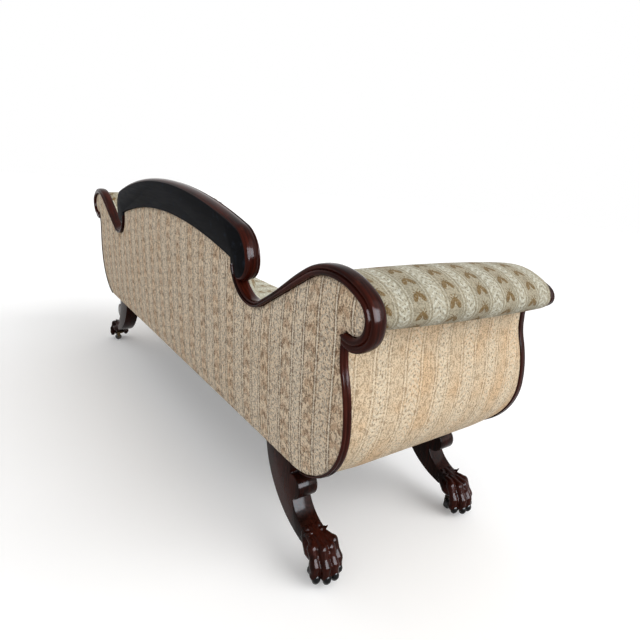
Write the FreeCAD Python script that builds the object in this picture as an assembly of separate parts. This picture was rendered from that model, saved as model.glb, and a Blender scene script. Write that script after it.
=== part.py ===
import FreeCAD
import Part
import math
import os

# Empire sofa: +X along the length, front towards -Y, +Z up, origin on the floor under the middle.
# All lengths are in millimetres and all angles in degrees. Insets are counted in from each end.

# Overall sizes
LENGTH = 2116.0
CREST_TOP_Z = 870.0
BODY_BASE_Z = 265.0
FRONT_DEPTH = 592.0
BACK_RAKE = 3.2

# Back layers, counted forward from the outer face of the back
BACK_COVER_T = 8.0
BACK_FRAME_T = 22.0
BACK_PAD_T = 65.0

# Scroll at each end of the back, repeated on each arm front
SCROLL_DROP = 179.0
EYE_R = 38.0
CROWN_R = 160.0
EYE_TURN = 33.0
CURL_END = 209.0
S_SLOPE = 30.0
SLOPE_RUN = 216.0
DIP_R = 105.0
DIP_START = 80.0
SCROLL_T = 15.0
SCROLL_PROUD = 6.0

# Swelling side of each end, below the scroll
BELLY_INSET = 59.0
BELLY_R = 180.0
FLANK_TURN = 17.0
WAIST_R = 180.0
WAIST_RUN = 27.0
TRIM_T = 8.0
TRIM_DEPTH = 21.0
TRIM_PROUD = 3.0
TRIM_START = 10.0
TRIM_TOP_GAP = 3.0
END_PANEL_T = 3.0
END_PANEL_START = 3.0

# Crest
CREST_DEPTH = 101.0
CREST_CORNER_H = 15.0
CREST_TIP_R = 52.0
CREST_TIP_GAP = 18.6
SHOULDER_R = 84.0
SHOULDER_TURN = 17.0
CREST_BEAD_T = 14.0
CREST_BEAD_STEP = 6.0
CREST_BEAD_DROP = 8.0

# Padded arm
ROLL_PAD_T = 10.0
ROLL_IN_TURN = 12.0
ROLL_IN_R = 55.0
ARM_HOLLOW_R = 500.0
ARM_STUFFING_T = 40.0
ARM_RAIL_W = 80.0
ARM_RAIL_H = 50.0
ARM_RAIL_OUT = 5.0
ARM_RAIL_DROP = 4.0
TACK_RAIL_W = 32.0
TACK_RAIL_H = 38.0
FACING_T = 22.0
ROSETTE_R = 27.0
ROSETTE_RIM_T = 4.0
ROSETTE_BUTTON_R = 12.0
ROSETTE_T = 6.0

# Seat frame
RAIL_H = 90.0
RAIL_T = 36.0
SIDE_RAIL_T = 30.0
SIDE_RAIL_GAP = 4.0
BACK_RAIL_GAP = 2.0
SHOW_RAIL_SET = 6.0
REED_COUNT = 3
REED_PITCH = 16.0
REED_R = 6.0
BEARER_W = 28.0
BEARER_H = 45.0
BEARER_DROP = 20.0
BEARER_X = 395.0
BLOCK_SIDE = 70.0
BLOCK_H = 55.0
BLOCK_DROP = 10.0

# Back frame
UPRIGHT_W = 60.0
UPRIGHT_X = 330.0
TOP_RAIL_DROP = 45.0
POST_JOINT = 95.0
POST_W = 105.0
STAY_RAIL_T = 22.0
STAY_RAIL_H = 32.0
STAY_RAIL_LIFT = 17.0

# Seat and back upholstery
WEB_W = 50.0
WEB_T = 1.5
WEB_PITCH = 118.0
WEB_LONG_PITCH = 92.0
WEB_LAP = 14.0
HESSIAN_T = 1.2
HESSIAN_LAP = 16.0
SEAT_PAD_T = 80.0
SEAT_PAD_ROUND = 22.0
BACK_PAD_LIFT = 52.0
BACK_PAD_EDGE = -10.0
DUST_COVER_T = 1.5
DUST_COVER_INSET = 8.0

# Sabre leg
LEG_W = 56.0
LEG_SET_FRONT = 13.0
LEG_SET_BACK = 20.0
LEG_CENTRE_INSET = 154.0
SABRE_R = 240.0
SABRE_Z = 306.0
ANKLE_INSET = 188.0
INSTEP_R = 104.0
INSTEP_Z = 205.0
INSTEP_INSET = 174.0
ROLL_R = 30.0
ROLL_INSET = 252.0
ROLL_Z = 190.0
NECK_INSET = 266.0

# Paw
PAW_W = 66.0
PAW_BACK_INSET = 194.0
PAW_BACK_Z = 74.0
PAW_HEEL_INSET = 176.0
PAW_BALL_INSET = 128.0
PAW_NOSE_INSET = 108.0
PAW_NOSE_Z = 62.0
PAW_KNUCKLE_INSET = 122.0
PAW_KNUCKLE_Z = 96.0
PAW_COLLAR_INSET = 170.0
PAW_COLLAR_Z = 108.0
TOE_COUNT = 4
TOE_R = 10.5
TOE_PITCH = 18.5
TOE_ROOT_INSET = 129.0
TOE_ROOT_Z = 84.0
TOE_TIP_INSET = 105.0
TOE_TIP_Z = 22.0

# Castor
FOOT_Z = 44.0
CASTOR_INSET = 152.0
PLATE_R = 19.0
PLATE_T = 2.5
PINTLE_R = 4.0
PINTLE_HEAD_R = 6.5
PINTLE_HEAD_T = 2.4
FORK_CROWN_R = 13.0
FORK_CROWN_T = 4.5
CASTOR_TRAIL = 14.0
WHEEL_R = 15.0
WHEEL_W = 14.0
WHEEL_ROUND = 3.0
CHEEK_T = 3.0
CHEEK_BOSS_R = 7.0
AXLE_R = 2.5
AXLE_HEAD_R = 4.0
AXLE_HEAD_T = 1.0

# Fasteners
BOLT_R = 4.0
BOLT_HEAD_R = 7.0
BOLT_HEAD_T = 6.0
BOLT_SINK = 10.0
BOLT_REACH = 45.0
BOLT_INSET = 300.0
BOLT_PITCH = 50.0
SCREW_COUNT = 3
SCREW_R = 1.6
SCREW_HEAD_R = 3.0
SCREW_HEAD_T = 1.2
SCREW_LENGTH = 16.0
SCREW_CIRCLE_R = 14.5

# Clearances
SEAT_GAP = 0.3
RUN_GAP = 0.06
SWIVEL_PLAY = 0.5
SIDE_PLAY = 0.5
HOLE_GAP = 0.15
PAD_GAP = 4.0

# Planes and centres worked out from the driving dimensions
HALF = LENGTH / 2
LEAN = math.radians(BACK_RAKE)
CREST_BOARD_TOP_Z = CREST_TOP_Z - CREST_BEAD_STEP
CREST_LOW_Z = CREST_TOP_Z - CREST_DEPTH
CREST_LEAN_Y = SCROLL_PROUD * math.cos(LEAN) + (CREST_BOARD_TOP_Z - BODY_BASE_Z) * math.sin(LEAN)
BACK_Y = (FRONT_DEPTH + ROSETTE_T - CREST_LEAN_Y) / 2
FRONT_Y = BACK_Y - FRONT_DEPTH
FRAME_FACE = BACK_COVER_T + BACK_FRAME_T
PAD_FACE = FRAME_FACE + BACK_PAD_T
FACING_BACK_Y = FRONT_Y + FACING_T
FRONT_RAIL_IN_Y = FACING_BACK_Y + RAIL_T
BACK_RAIL_OUT_Y = BACK_Y - BACK_COVER_T - BACK_RAIL_GAP
BACK_RAIL_IN_Y = BACK_RAIL_OUT_Y - RAIL_T
RAIL_TOP_Z = BODY_BASE_Z + RAIL_H
WEB_TOP_Z = RAIL_TOP_Z + 2 * WEB_T
HESSIAN_TOP_Z = WEB_TOP_Z + HESSIAN_T
SEAT_BASE_Z = HESSIAN_TOP_Z + SEAT_GAP
SEAT_TOP_Z = SEAT_BASE_Z + SEAT_PAD_T

EYE_X = HALF - SCROLL_T - EYE_R
SCROLL_EYE_Z = CREST_TOP_Z - SCROLL_DROP
EYE_RAD = math.radians(EYE_TURN)
CROWN_X = EYE_X - (CROWN_R - EYE_R) * math.sin(EYE_RAD)
CROWN_Z = SCROLL_EYE_Z - (CROWN_R - EYE_R) * math.cos(EYE_RAD)
SLOPE_RAD = math.radians(S_SLOPE)
DIP_X = CROWN_X - (CROWN_R + DIP_R) * math.sin(SLOPE_RAD) - SLOPE_RUN * math.cos(SLOPE_RAD)
DIP_Z = CROWN_Z + (CROWN_R + DIP_R) * math.cos(SLOPE_RAD) - SLOPE_RUN * math.sin(SLOPE_RAD)
CREST_TIP_X = DIP_X - CREST_TIP_GAP
TOP_RAIL_BASE_Z = DIP_Z - DIP_R - TOP_RAIL_DROP
POST_JOINT_X = DIP_X + POST_JOINT

CURL_RAD = math.radians(CURL_END)
CURL_X = EYE_X + (EYE_R + SCROLL_T) * math.sin(CURL_RAD)
CURL_Z = SCROLL_EYE_Z + (EYE_R + SCROLL_T) * math.cos(CURL_RAD)
TRIM_TOP_Z = CURL_Z - TRIM_TOP_GAP
BELLY_X = HALF - BELLY_INSET - BELLY_R
BELLY_Z = BODY_BASE_Z + BELLY_R
FLANK_RAD = math.radians(FLANK_TURN)
WAIST_Z = TRIM_TOP_Z - WAIST_RUN
FLANK_R = (WAIST_Z - BELLY_Z) / math.sin(FLANK_RAD) - WAIST_R
FLANK_X = BELLY_X + BELLY_R - FLANK_R
WAIST_X = FLANK_X + (FLANK_R + WAIST_R) * math.cos(FLANK_RAD)
WAIST_FACE_X = WAIST_X - WAIST_R
SIDE_RAIL_OUT_X = BELLY_X - SIDE_RAIL_GAP
SIDE_RAIL_IN_X = SIDE_RAIL_OUT_X - SIDE_RAIL_T

FACING_EDGE = SCROLL_T - ROLL_PAD_T
ROLL_IN_RAD = math.radians(ROLL_IN_TURN)
ROLL_SKIN_R = CROWN_R + ROLL_PAD_T
ROLL_IN_X = CROWN_X - (ROLL_SKIN_R - ROLL_IN_R) * math.sin(ROLL_IN_RAD)
ROLL_IN_Z = CROWN_Z + (ROLL_SKIN_R - ROLL_IN_R) * math.cos(ROLL_IN_RAD)
HOLLOW_X = ROLL_IN_X - ROLL_IN_R - ARM_HOLLOW_R
ARM_RAIL_OUT_X = EYE_X + ARM_RAIL_OUT
ARM_RAIL_IN_X = ARM_RAIL_OUT_X - ARM_RAIL_W
ARM_RAIL_TOP_Z = SCROLL_EYE_Z - ARM_RAIL_DROP + ARM_RAIL_H / 2
ARM_RAIL_BASE_Z = ARM_RAIL_TOP_Z - ARM_RAIL_H

LEG_X = HALF - LEG_CENTRE_INSET
LEG_ROLL_X = HALF - ROLL_INSET
NECK_X = HALF - NECK_INSET
LEG_TOP_X = LEG_X - math.sqrt(SABRE_R ** 2 - (SABRE_Z - BODY_BASE_Z) ** 2)
LEG_YS = {"front": FRONT_Y + LEG_SET_FRONT, "rear": BACK_Y - LEG_SET_BACK - LEG_W}
BOLT_YS = {"front": FACING_BACK_Y + RAIL_T / 2, "rear": BACK_RAIL_IN_Y + RAIL_T / 2}
BOLT_XS = [HALF - BOLT_INSET - i * BOLT_PITCH for i in range(2)]
BOLT_SEAT_Z = RAIL_TOP_Z - BOLT_SINK
CASTOR_X = HALF - CASTOR_INSET
SIDES = {"left": -1, "right": 1}


# Outlines are lists of points ("p", x, z) and arcs ("a", x, z, radius, first bearing, last bearing).
# A bearing of 0 is straight up and 90 is towards +X.
def bearing_point(x, z, radius, bearing):
    angle = math.radians(bearing)
    return x + radius * math.sin(angle), z + radius * math.cos(angle)


def bearing_of(x, z, centre_x, centre_z):
    return math.degrees(math.atan2(x - centre_x, z - centre_z))


def arc_between(x, z, radius, first, last):
    """Arc about a centre from one point on it to another."""
    return ("a", x, z, radius, bearing_of(*first, x, z), bearing_of(*last, x, z))


def reversed_run(items):
    """The same run walked the other way."""
    turned = []
    for item in reversed(items):
        if item[0] == "p":
            turned.append(item)
        else:
            turned.append(item[:4] + (item[5], item[4]))
    return turned


def mirrored_run(items):
    """The run's image in the middle plane, walked the other way."""
    turned = []
    for item in reversed_run(items):
        if item[0] == "p":
            turned.append(("p", -item[1], item[2]))
        else:
            turned.append(("a", -item[1], item[2], item[3], -item[4], -item[5]))
    return turned


def closed_pair(right_run):
    """Closed outline of a piece that is the same on both sides of the middle plane."""
    return mirrored_run(right_run) + right_run


def outline_face(items):
    """Flat face in the XZ plane; the gaps between items, and back to the first, are straight runs."""
    edges = []
    corners = []
    for item in items:
        if item[0] == "p":
            places = [item[1:]]
        else:
            x, z, radius, low, high = item[1:]
            places = [bearing_point(x, z, radius, b) for b in (low, (low + high) / 2, high)]
        places = [FreeCAD.Vector(px, 0, pz) for px, pz in places]
        if corners and (places[0] - corners[-1]).Length > 1e-6:
            edges.append(Part.LineSegment(corners[-1], places[0]).toShape())
        if len(places) == 3:
            edges.append(Part.Arc(*places).toShape())
        corners += places
    if (corners[0] - corners[-1]).Length > 1e-6:
        edges.append(Part.LineSegment(corners[-1], corners[0]).toShape())
    return Part.Face(Part.Wire(edges))


# Solids
def slab(items, y_low, y_high):
    """Solid with an outline in the XZ plane, between two Y planes."""
    face = outline_face(items)
    face.translate(FreeCAD.Vector(0, y_low, 0))
    return face.extrude(FreeCAD.Vector(0, y_high - y_low, 0))


def box(x_low, x_high, y_low, y_high, z_low, z_high):
    corner = FreeCAD.Vector(x_low, y_low, z_low)
    return Part.makeBox(x_high - x_low, y_high - y_low, z_high - z_low, corner)


def rod(x, y, z, radius, length, axis=(0, 0, 1)):
    return Part.makeCylinder(radius, length, FreeCAD.Vector(x, y, z), FreeCAD.Vector(*axis))


def leaned(shape):
    """Turn a piece built behind the upright plane Y = 0 into the raked back."""
    turned = shape.copy()
    turned.rotate(FreeCAD.Vector(0, 0, BODY_BASE_Z), FreeCAD.Vector(1, 0, 0), -BACK_RAKE)
    turned.translate(FreeCAD.Vector(0, BACK_Y, 0))
    return turned


def back_slab(items, near, far):
    """Raked solid between two depths, counted forward from the outer face of the back."""
    return leaned(slab(items, -far, -near))


def arm_slab(items):
    """Solid from the back of the arm facing to the front of the raked back frame."""
    behind = leaned(box(-HALF, HALF, -FRAME_FACE, FRONT_DEPTH, 0, CREST_TOP_Z))
    return slab(items, FACING_BACK_Y, BACK_Y + SCROLL_EYE_Z * math.sin(LEAN)).cut(behind)


def mirror_x(shape):
    return shape.mirror(FreeCAD.Vector(0, 0, 0), FreeCAD.Vector(1, 0, 0))


def save(name, shape):
    shape.exportStep("parts/" + name + ".step")


def save_pair(name, right):
    """Write a piece of the right end and its mirror image at the left end."""
    save(name + "_right", right)
    save(name + "_left", mirror_x(right))


# Runs that several pieces share, for the right end
def scroll_run(offset):
    """Edge of the back from under the crest, through the dip, over the scroll and round its curl."""
    return [
        ("a", DIP_X, DIP_Z, DIP_R - offset, 180 + DIP_START, 180 - S_SLOPE),
        ("a", CROWN_X, CROWN_Z, CROWN_R + offset, -S_SLOPE, EYE_TURN),
        ("a", EYE_X, SCROLL_EYE_Z, EYE_R + offset, EYE_TURN, CURL_END),
    ]


def side_run(offset, start, top_z):
    """Edge of the end from its underside, round the belly and in to the waist."""
    return [
        ("a", BELLY_X, BELLY_Z, BELLY_R + offset, 180 - start, 90),
        ("a", FLANK_X, BELLY_Z, FLANK_R + offset, 90, 90 - FLANK_TURN),
        ("a", WAIST_X, WAIST_Z, WAIST_R - offset, 270 - FLANK_TURN, 270),
        ("p", WAIST_FACE_X + offset, top_z),
    ]


def slope_z(x, offset):
    """Height of the straight run between the dip and the scroll."""
    foot_x, foot_z = bearing_point(DIP_X, DIP_Z, DIP_R - offset, 180 - S_SLOPE)
    return foot_z + (x - foot_x) * math.tan(SLOPE_RAD)


def arch(top_z, x, z):
    """Right half of an arch whose top is on the middle plane, down to a point at its end."""
    rise = top_z - z
    radius = (x ** 2 + rise ** 2) / (2 * rise)
    return ("a", 0.0, top_z - radius, radius, 0.0, bearing_of(x, z, 0.0, top_z - radius))


CORNER_X, CORNER_BASE_Z = bearing_point(DIP_X, DIP_Z, DIP_R, 180 + DIP_START)
CORNER_Z = CORNER_BASE_Z + CREST_CORNER_H


def crest_low_run(drop):
    """Lower edge of the crest from the middle to the corner where the scroll starts."""
    return [arch(CREST_LOW_Z - drop, CORNER_X, CORNER_Z - drop), ("p", CORNER_X, CORNER_BASE_Z)]


def crest_run(grow, drop):
    """Right half of the crest: arch, shoulder, round tip, and the tongue that lies in the dip."""
    shoulder_x = CREST_TIP_X - SHOULDER_R
    end_x, end_z = bearing_point(shoulder_x, DIP_Z, SHOULDER_R + grow, SHOULDER_TURN)
    tip_r = CREST_TIP_R + grow
    dip_r = DIP_R - SCROLL_T - SEAT_GAP
    span = CREST_TIP_GAP + CREST_TIP_R
    tip_turn = math.degrees(math.acos((span ** 2 + tip_r ** 2 - dip_r ** 2) / (2 * span * tip_r)))
    dip_turn = math.degrees(math.acos((span ** 2 + dip_r ** 2 - tip_r ** 2) / (2 * span * dip_r)))
    return [
        arch(CREST_BOARD_TOP_Z + grow, end_x, end_z),
        ("a", shoulder_x, DIP_Z, SHOULDER_R + grow, SHOULDER_TURN, 90),
        ("a", CREST_TIP_X - CREST_TIP_R, DIP_Z, tip_r, 90, 90 + tip_turn),
        ("a", DIP_X, DIP_Z, dip_r, 270 - dip_turn, 180 + DIP_START),
        ("p", CORNER_X, CORNER_BASE_Z + SEAT_GAP),
    ] + reversed_run(crest_low_run(drop)[:1])


def hollow_run(offset, low_z):
    """Hollow inner face of the arm, from the roll down to a height, moved outwards by an offset."""
    radius = ARM_HOLLOW_R + offset
    drop = math.degrees(math.asin((ROLL_IN_Z - low_z) / radius))
    return ("a", HOLLOW_X, ROLL_IN_Z, radius, 90, 90 + drop)


def hollow_x(offset):
    """X of the foot of that face, at the top of the seat."""
    return HOLLOW_X + math.sqrt((ARM_HOLLOW_R + offset) ** 2 - (ROLL_IN_Z - SEAT_TOP_Z) ** 2)


FACING_IN_X = hollow_x(-FACING_EDGE)
SEAT_HALF_X = FACING_IN_X - SEAT_GAP


# Back of the sofa
def make_back():
    upper = crest_low_run(SEAT_GAP) + scroll_run(0.0) + [("p", CURL_X, CURL_Z)]
    ends = reversed_run(side_run(0.0, 0.0, TRIM_TOP_Z))
    save("outer_back_cover", back_slab(closed_pair(upper + ends), 0.0, BACK_COVER_T))

    post = [("p", SIDE_RAIL_OUT_X, BODY_BASE_Z)] + side_run(0.0, 0.0, TRIM_TOP_Z)
    post += [("p", CURL_X, CURL_Z)] + reversed_run(scroll_run(0.0)[1:])
    post += [
        ("p", POST_JOINT_X, slope_z(POST_JOINT_X, 0.0)),
        ("p", POST_JOINT_X, TOP_RAIL_BASE_Z),
        ("p", WAIST_FACE_X - POST_W, TOP_RAIL_BASE_Z),
        ("p", BELLY_X + BELLY_R - POST_W, BELLY_Z),
        ("p", SIDE_RAIL_OUT_X, RAIL_TOP_Z),
    ]
    save_pair("back_post", back_slab(post, BACK_COVER_T, FRAME_FACE))

    top = crest_low_run(SEAT_GAP) + scroll_run(0.0)[:1]
    top += [("p", POST_JOINT_X, slope_z(POST_JOINT_X, 0.0)), ("p", POST_JOINT_X, TOP_RAIL_BASE_Z)]
    save("back_top_rail", back_slab(closed_pair(top), BACK_COVER_T, FRAME_FACE))

    below_rail = box(-HALF, HALF, FRONT_Y, 2 * BACK_Y, 0, RAIL_TOP_Z)
    uprights = []
    for x in (-UPRIGHT_X, 0.0, UPRIGHT_X):
        sides = (x - UPRIGHT_W / 2, x + UPRIGHT_W / 2)
        stick = leaned(box(*sides, -FRAME_FACE, -BACK_COVER_T, BODY_BASE_Z, TOP_RAIL_BASE_Z))
        uprights.append(stick.cut(below_rail))
    save("back_uprights", Part.makeCompound(uprights))

    stay_low_z = RAIL_TOP_Z + STAY_RAIL_LIFT
    stay_ys = (-FRAME_FACE - STAY_RAIL_T, -FRAME_FACE)
    stay = box(-SEAT_HALF_X, SEAT_HALF_X, *stay_ys, stay_low_z, stay_low_z + STAY_RAIL_H)
    save("back_stay_rail", leaned(stay))

    pad = crest_low_run(CREST_BEAD_DROP + SEAT_GAP)[:1] + scroll_run(BACK_PAD_EDGE)[:1]
    pad_end_x = ROLL_IN_X - ROLL_IN_R - PAD_GAP
    pad += [
        ("p", pad_end_x, slope_z(pad_end_x, BACK_PAD_EDGE)),
        hollow_run(-PAD_GAP, SEAT_TOP_Z),
        ("p", hollow_x(-PAD_GAP), RAIL_TOP_Z + BACK_PAD_LIFT),
    ]
    save("inside_back_pad", back_slab(closed_pair(pad), FRAME_FACE, PAD_FACE))


def make_crest():
    board = closed_pair(crest_run(0.0, 0.0))
    save("crest_rail", back_slab(board, -SCROLL_PROUD, FRAME_FACE))
    bead = closed_pair(crest_run(CREST_BEAD_STEP, CREST_BEAD_DROP))
    save("crest_bead", back_slab(bead, FRAME_FACE, FRAME_FACE + CREST_BEAD_T))


def make_end_mouldings():
    scroll = scroll_run(SCROLL_T) + reversed_run(scroll_run(SEAT_GAP))
    save_pair("back_scroll_moulding", back_slab(scroll, -SCROLL_PROUD, FRAME_FACE))
    trim = side_run(TRIM_T, TRIM_START, TRIM_TOP_Z)
    trim += reversed_run(side_run(SEAT_GAP, TRIM_START, TRIM_TOP_Z))
    save_pair("end_trim", back_slab(trim, -TRIM_PROUD, TRIM_DEPTH - TRIM_PROUD))


# Arms
def make_arms():
    roll = reversed_run(scroll_run(ROLL_PAD_T)[2:])
    roll.append(("a", CROWN_X, CROWN_Z, ROLL_SKIN_R, EYE_TURN, -ROLL_IN_TURN))
    roll.append(("a", ROLL_IN_X, ROLL_IN_Z, ROLL_IN_R, -ROLL_IN_TURN, -90))
    curl_x = bearing_point(EYE_X, SCROLL_EYE_Z, EYE_R + ROLL_PAD_T, CURL_END)[0]
    rail_low_z = ARM_RAIL_BASE_Z - SEAT_GAP
    rail_high_z = ARM_RAIL_TOP_Z + SEAT_GAP
    lining_low = hollow_run(ARM_STUFFING_T, SEAT_TOP_Z)[5]
    lining_high = hollow_run(ARM_STUFFING_T, rail_low_z)[5]
    pad = roll + [
        hollow_run(0.0, SEAT_TOP_Z),
        ("p", hollow_x(0.0), SEAT_BASE_Z),
        ("p", hollow_x(ARM_STUFFING_T), SEAT_BASE_Z),
        ("a", HOLLOW_X, ROLL_IN_Z, ARM_HOLLOW_R + ARM_STUFFING_T, lining_low, lining_high),
        ("p", ARM_RAIL_IN_X - SEAT_GAP, rail_low_z),
        ("p", ARM_RAIL_IN_X - SEAT_GAP, rail_high_z),
        ("p", ARM_RAIL_OUT_X + SEAT_GAP, rail_high_z),
        ("p", ARM_RAIL_OUT_X + SEAT_GAP, rail_low_z),
        ("p", curl_x, rail_low_z),
    ]
    save_pair("arm_pad", arm_slab(pad))

    rail = [
        ("p", ARM_RAIL_IN_X, ARM_RAIL_BASE_Z),
        ("p", ARM_RAIL_IN_X, ARM_RAIL_TOP_Z),
        ("p", ARM_RAIL_OUT_X, ARM_RAIL_TOP_Z),
        ("p", ARM_RAIL_OUT_X, ARM_RAIL_BASE_Z),
    ]
    save_pair("arm_top_rail", arm_slab(rail))
    tack_x = WAIST_FACE_X - SEAT_GAP
    tack = [
        ("p", tack_x - TACK_RAIL_W, TRIM_TOP_Z - TACK_RAIL_H),
        ("p", tack_x - TACK_RAIL_W, TRIM_TOP_Z),
        ("p", tack_x, TRIM_TOP_Z),
        ("p", tack_x, TRIM_TOP_Z - TACK_RAIL_H),
    ]
    save_pair("arm_tacking_rail", arm_slab(tack))
    panel = side_run(END_PANEL_T, END_PANEL_START, TRIM_TOP_Z)
    panel += reversed_run(side_run(0.0, END_PANEL_START, TRIM_TOP_Z))
    save_pair("outside_arm_panel", arm_slab(panel))


def make_arm_facings():
    flat_start = math.degrees(math.acos(BELLY_R / (BELLY_R + TRIM_T)))
    edge_r = EYE_R + SCROLL_T
    waist_x = WAIST_FACE_X + TRIM_T
    curl = 180 + math.degrees(math.asin((EYE_X - waist_x) / edge_r))
    curl_z = bearing_point(EYE_X, SCROLL_EYE_Z, edge_r, curl)[1]
    facing = [("p", FACING_IN_X, BODY_BASE_Z)] + side_run(TRIM_T, flat_start, curl_z)
    facing += [
        ("a", EYE_X, SCROLL_EYE_Z, edge_r, curl, EYE_TURN),
        ("a", CROWN_X, CROWN_Z, CROWN_R + SCROLL_T, EYE_TURN, -ROLL_IN_TURN),
        ("a", ROLL_IN_X, ROLL_IN_Z, ROLL_IN_R + FACING_EDGE, -ROLL_IN_TURN, -90),
        hollow_run(-FACING_EDGE, SEAT_TOP_Z),
    ]
    save_pair("arm_facing", slab(facing, FRONT_Y, FACING_BACK_Y))
    rosettes = []
    for side in SIDES.values():
        place = (side * EYE_X, FRONT_Y, SCROLL_EYE_Z)
        rim = rod(*place, ROSETTE_R, ROSETTE_RIM_T, (0, -1, 0))
        button = rod(*place, ROSETTE_BUTTON_R, ROSETTE_T, (0, -1, 0))
        rosettes.append(rim.fuse(button).removeSplitter())
    save("arm_rosettes", Part.makeCompound(rosettes))


# Seat
def bolt_holes(row):
    """Clearance holes and head recesses for the leg bolts of one row, at both ends."""
    holes = []
    for side in SIDES.values():
        for x in BOLT_XS:
            place = (side * x, BOLT_YS[row])
            holes.append(rod(*place, BODY_BASE_Z, BOLT_R + HOLE_GAP, RAIL_H))
            holes.append(rod(*place, BOLT_SEAT_Z, BOLT_HEAD_R + SIDE_PLAY, BOLT_SINK))
    return holes


def make_seat_frame():
    span = (-SIDE_RAIL_OUT_X, SIDE_RAIL_OUT_X)
    heights = (BODY_BASE_Z, RAIL_TOP_Z)
    front = box(*span, FACING_BACK_Y, FRONT_RAIL_IN_Y, *heights)
    save("seat_rail_front", front.cut(bolt_holes("front")))
    back = box(*span, BACK_RAIL_IN_Y, BACK_RAIL_OUT_Y, *heights)
    save("seat_rail_back", back.cut(bolt_holes("rear")))
    side = box(SIDE_RAIL_IN_X, SIDE_RAIL_OUT_X, FRONT_RAIL_IN_Y, BACK_RAIL_IN_Y, *heights)
    save_pair("seat_rail", side)

    bearers = []
    bearer_top_z = RAIL_TOP_Z - BEARER_DROP
    for x in (-BEARER_X, 0.0, BEARER_X):
        sides = (x - BEARER_W / 2, x + BEARER_W / 2)
        depth = (FRONT_RAIL_IN_Y, BACK_RAIL_IN_Y)
        bearers.append(box(*sides, *depth, bearer_top_z - BEARER_H, bearer_top_z))
    save("seat_bearers", Part.makeCompound(bearers))

    blocks = []
    block_low = FreeCAD.Vector(0, 0, RAIL_TOP_Z - BLOCK_DROP - BLOCK_H)
    for side in SIDES.values():
        for y, inward in ((FRONT_RAIL_IN_Y, 1), (BACK_RAIL_IN_Y, -1)):
            corner = FreeCAD.Vector(side * SIDE_RAIL_IN_X, y, 0) + block_low
            along = corner - FreeCAD.Vector(side * BLOCK_SIDE, 0, 0)
            across = corner + FreeCAD.Vector(0, inward * BLOCK_SIDE, 0)
            face = Part.Face(Part.makePolygon([corner, along, across, corner]))
            blocks.append(face.extrude(FreeCAD.Vector(0, 0, BLOCK_H)))
    save("corner_blocks", Part.makeCompound(blocks))

    show_y = FRONT_Y + SHOW_RAIL_SET
    show = box(-FACING_IN_X, FACING_IN_X, show_y, FACING_BACK_Y, BODY_BASE_Z, HESSIAN_TOP_Z)
    reed_z = (BODY_BASE_Z + HESSIAN_TOP_Z - (REED_COUNT - 1) * REED_PITCH) / 2
    reeds = []
    for i in range(REED_COUNT):
        place = (-FACING_IN_X, show_y, reed_z + i * REED_PITCH)
        reeds.append(rod(*place, REED_R, 2 * FACING_IN_X, (1, 0, 0)))
    save("front_show_rail", show.fuse(reeds).removeSplitter())


def spread(low, high, width, pitch):
    """Centres of as many strips of a width as fit a span at about a pitch."""
    count = int((high - low - width) / pitch) + 1
    first = (low + high - (count - 1) * pitch) / 2
    return [first + i * pitch for i in range(count)]


def make_seat_upholstery():
    across = (FRONT_RAIL_IN_Y - WEB_LAP, BACK_RAIL_IN_Y + WEB_LAP)
    along = (-SIDE_RAIL_IN_X - WEB_LAP, SIDE_RAIL_IN_X + WEB_LAP)
    strips = []
    for x in spread(-SIDE_RAIL_IN_X, SIDE_RAIL_IN_X, WEB_W, WEB_PITCH):
        strips.append(box(x - WEB_W / 2, x + WEB_W / 2, *across, RAIL_TOP_Z, RAIL_TOP_Z + WEB_T))
    for y in spread(FRONT_RAIL_IN_Y, BACK_RAIL_IN_Y, WEB_W, WEB_LONG_PITCH):
        strips.append(box(*along, y - WEB_W / 2, y + WEB_W / 2, RAIL_TOP_Z + WEB_T, WEB_TOP_Z))
    save("seat_webbing", Part.makeCompound(strips))

    cloth_x = SIDE_RAIL_IN_X + HESSIAN_LAP
    cloth_ys = (FRONT_RAIL_IN_Y - HESSIAN_LAP, BACK_RAIL_IN_Y + HESSIAN_LAP)
    save("seat_hessian", box(-cloth_x, cloth_x, *cloth_ys, WEB_TOP_Z, HESSIAN_TOP_Z))

    pad_ys = (FRONT_Y + SHOW_RAIL_SET, BACK_Y - PAD_FACE)
    pad = box(-SEAT_HALF_X, SEAT_HALF_X, *pad_ys, SEAT_BASE_Z, SEAT_TOP_Z)
    top_edges = [e for e in pad.Edges if e.BoundBox.ZMin > SEAT_TOP_Z - SEAT_GAP]
    save("seat_pad", pad.makeFillet(SEAT_PAD_ROUND, top_edges))

    dust_x = LEG_TOP_X - DUST_COVER_INSET
    dust_ys = (FACING_BACK_Y + DUST_COVER_INSET, BACK_RAIL_OUT_Y - DUST_COVER_INSET)
    save("dust_cover", box(-dust_x, dust_x, *dust_ys, BODY_BASE_Z - DUST_COVER_T, BODY_BASE_Z))


# Legs and castors
def castor_places():
    """Each castor's name, side, X and Y of its swivel."""
    for row, y in LEG_YS.items():
        for side, sign in SIDES.items():
            yield row + "_" + side, sign * CASTOR_X, y + LEG_W / 2


def screw_places(x, y):
    """Places of the screws round a castor plate, the first one on its outer side."""
    outward = math.copysign(SCREW_CIRCLE_R, x)
    for i in range(SCREW_COUNT):
        angle = 2 * math.pi * i / SCREW_COUNT
        yield x + outward * math.cos(angle), y + SCREW_CIRCLE_R * math.sin(angle)


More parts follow.
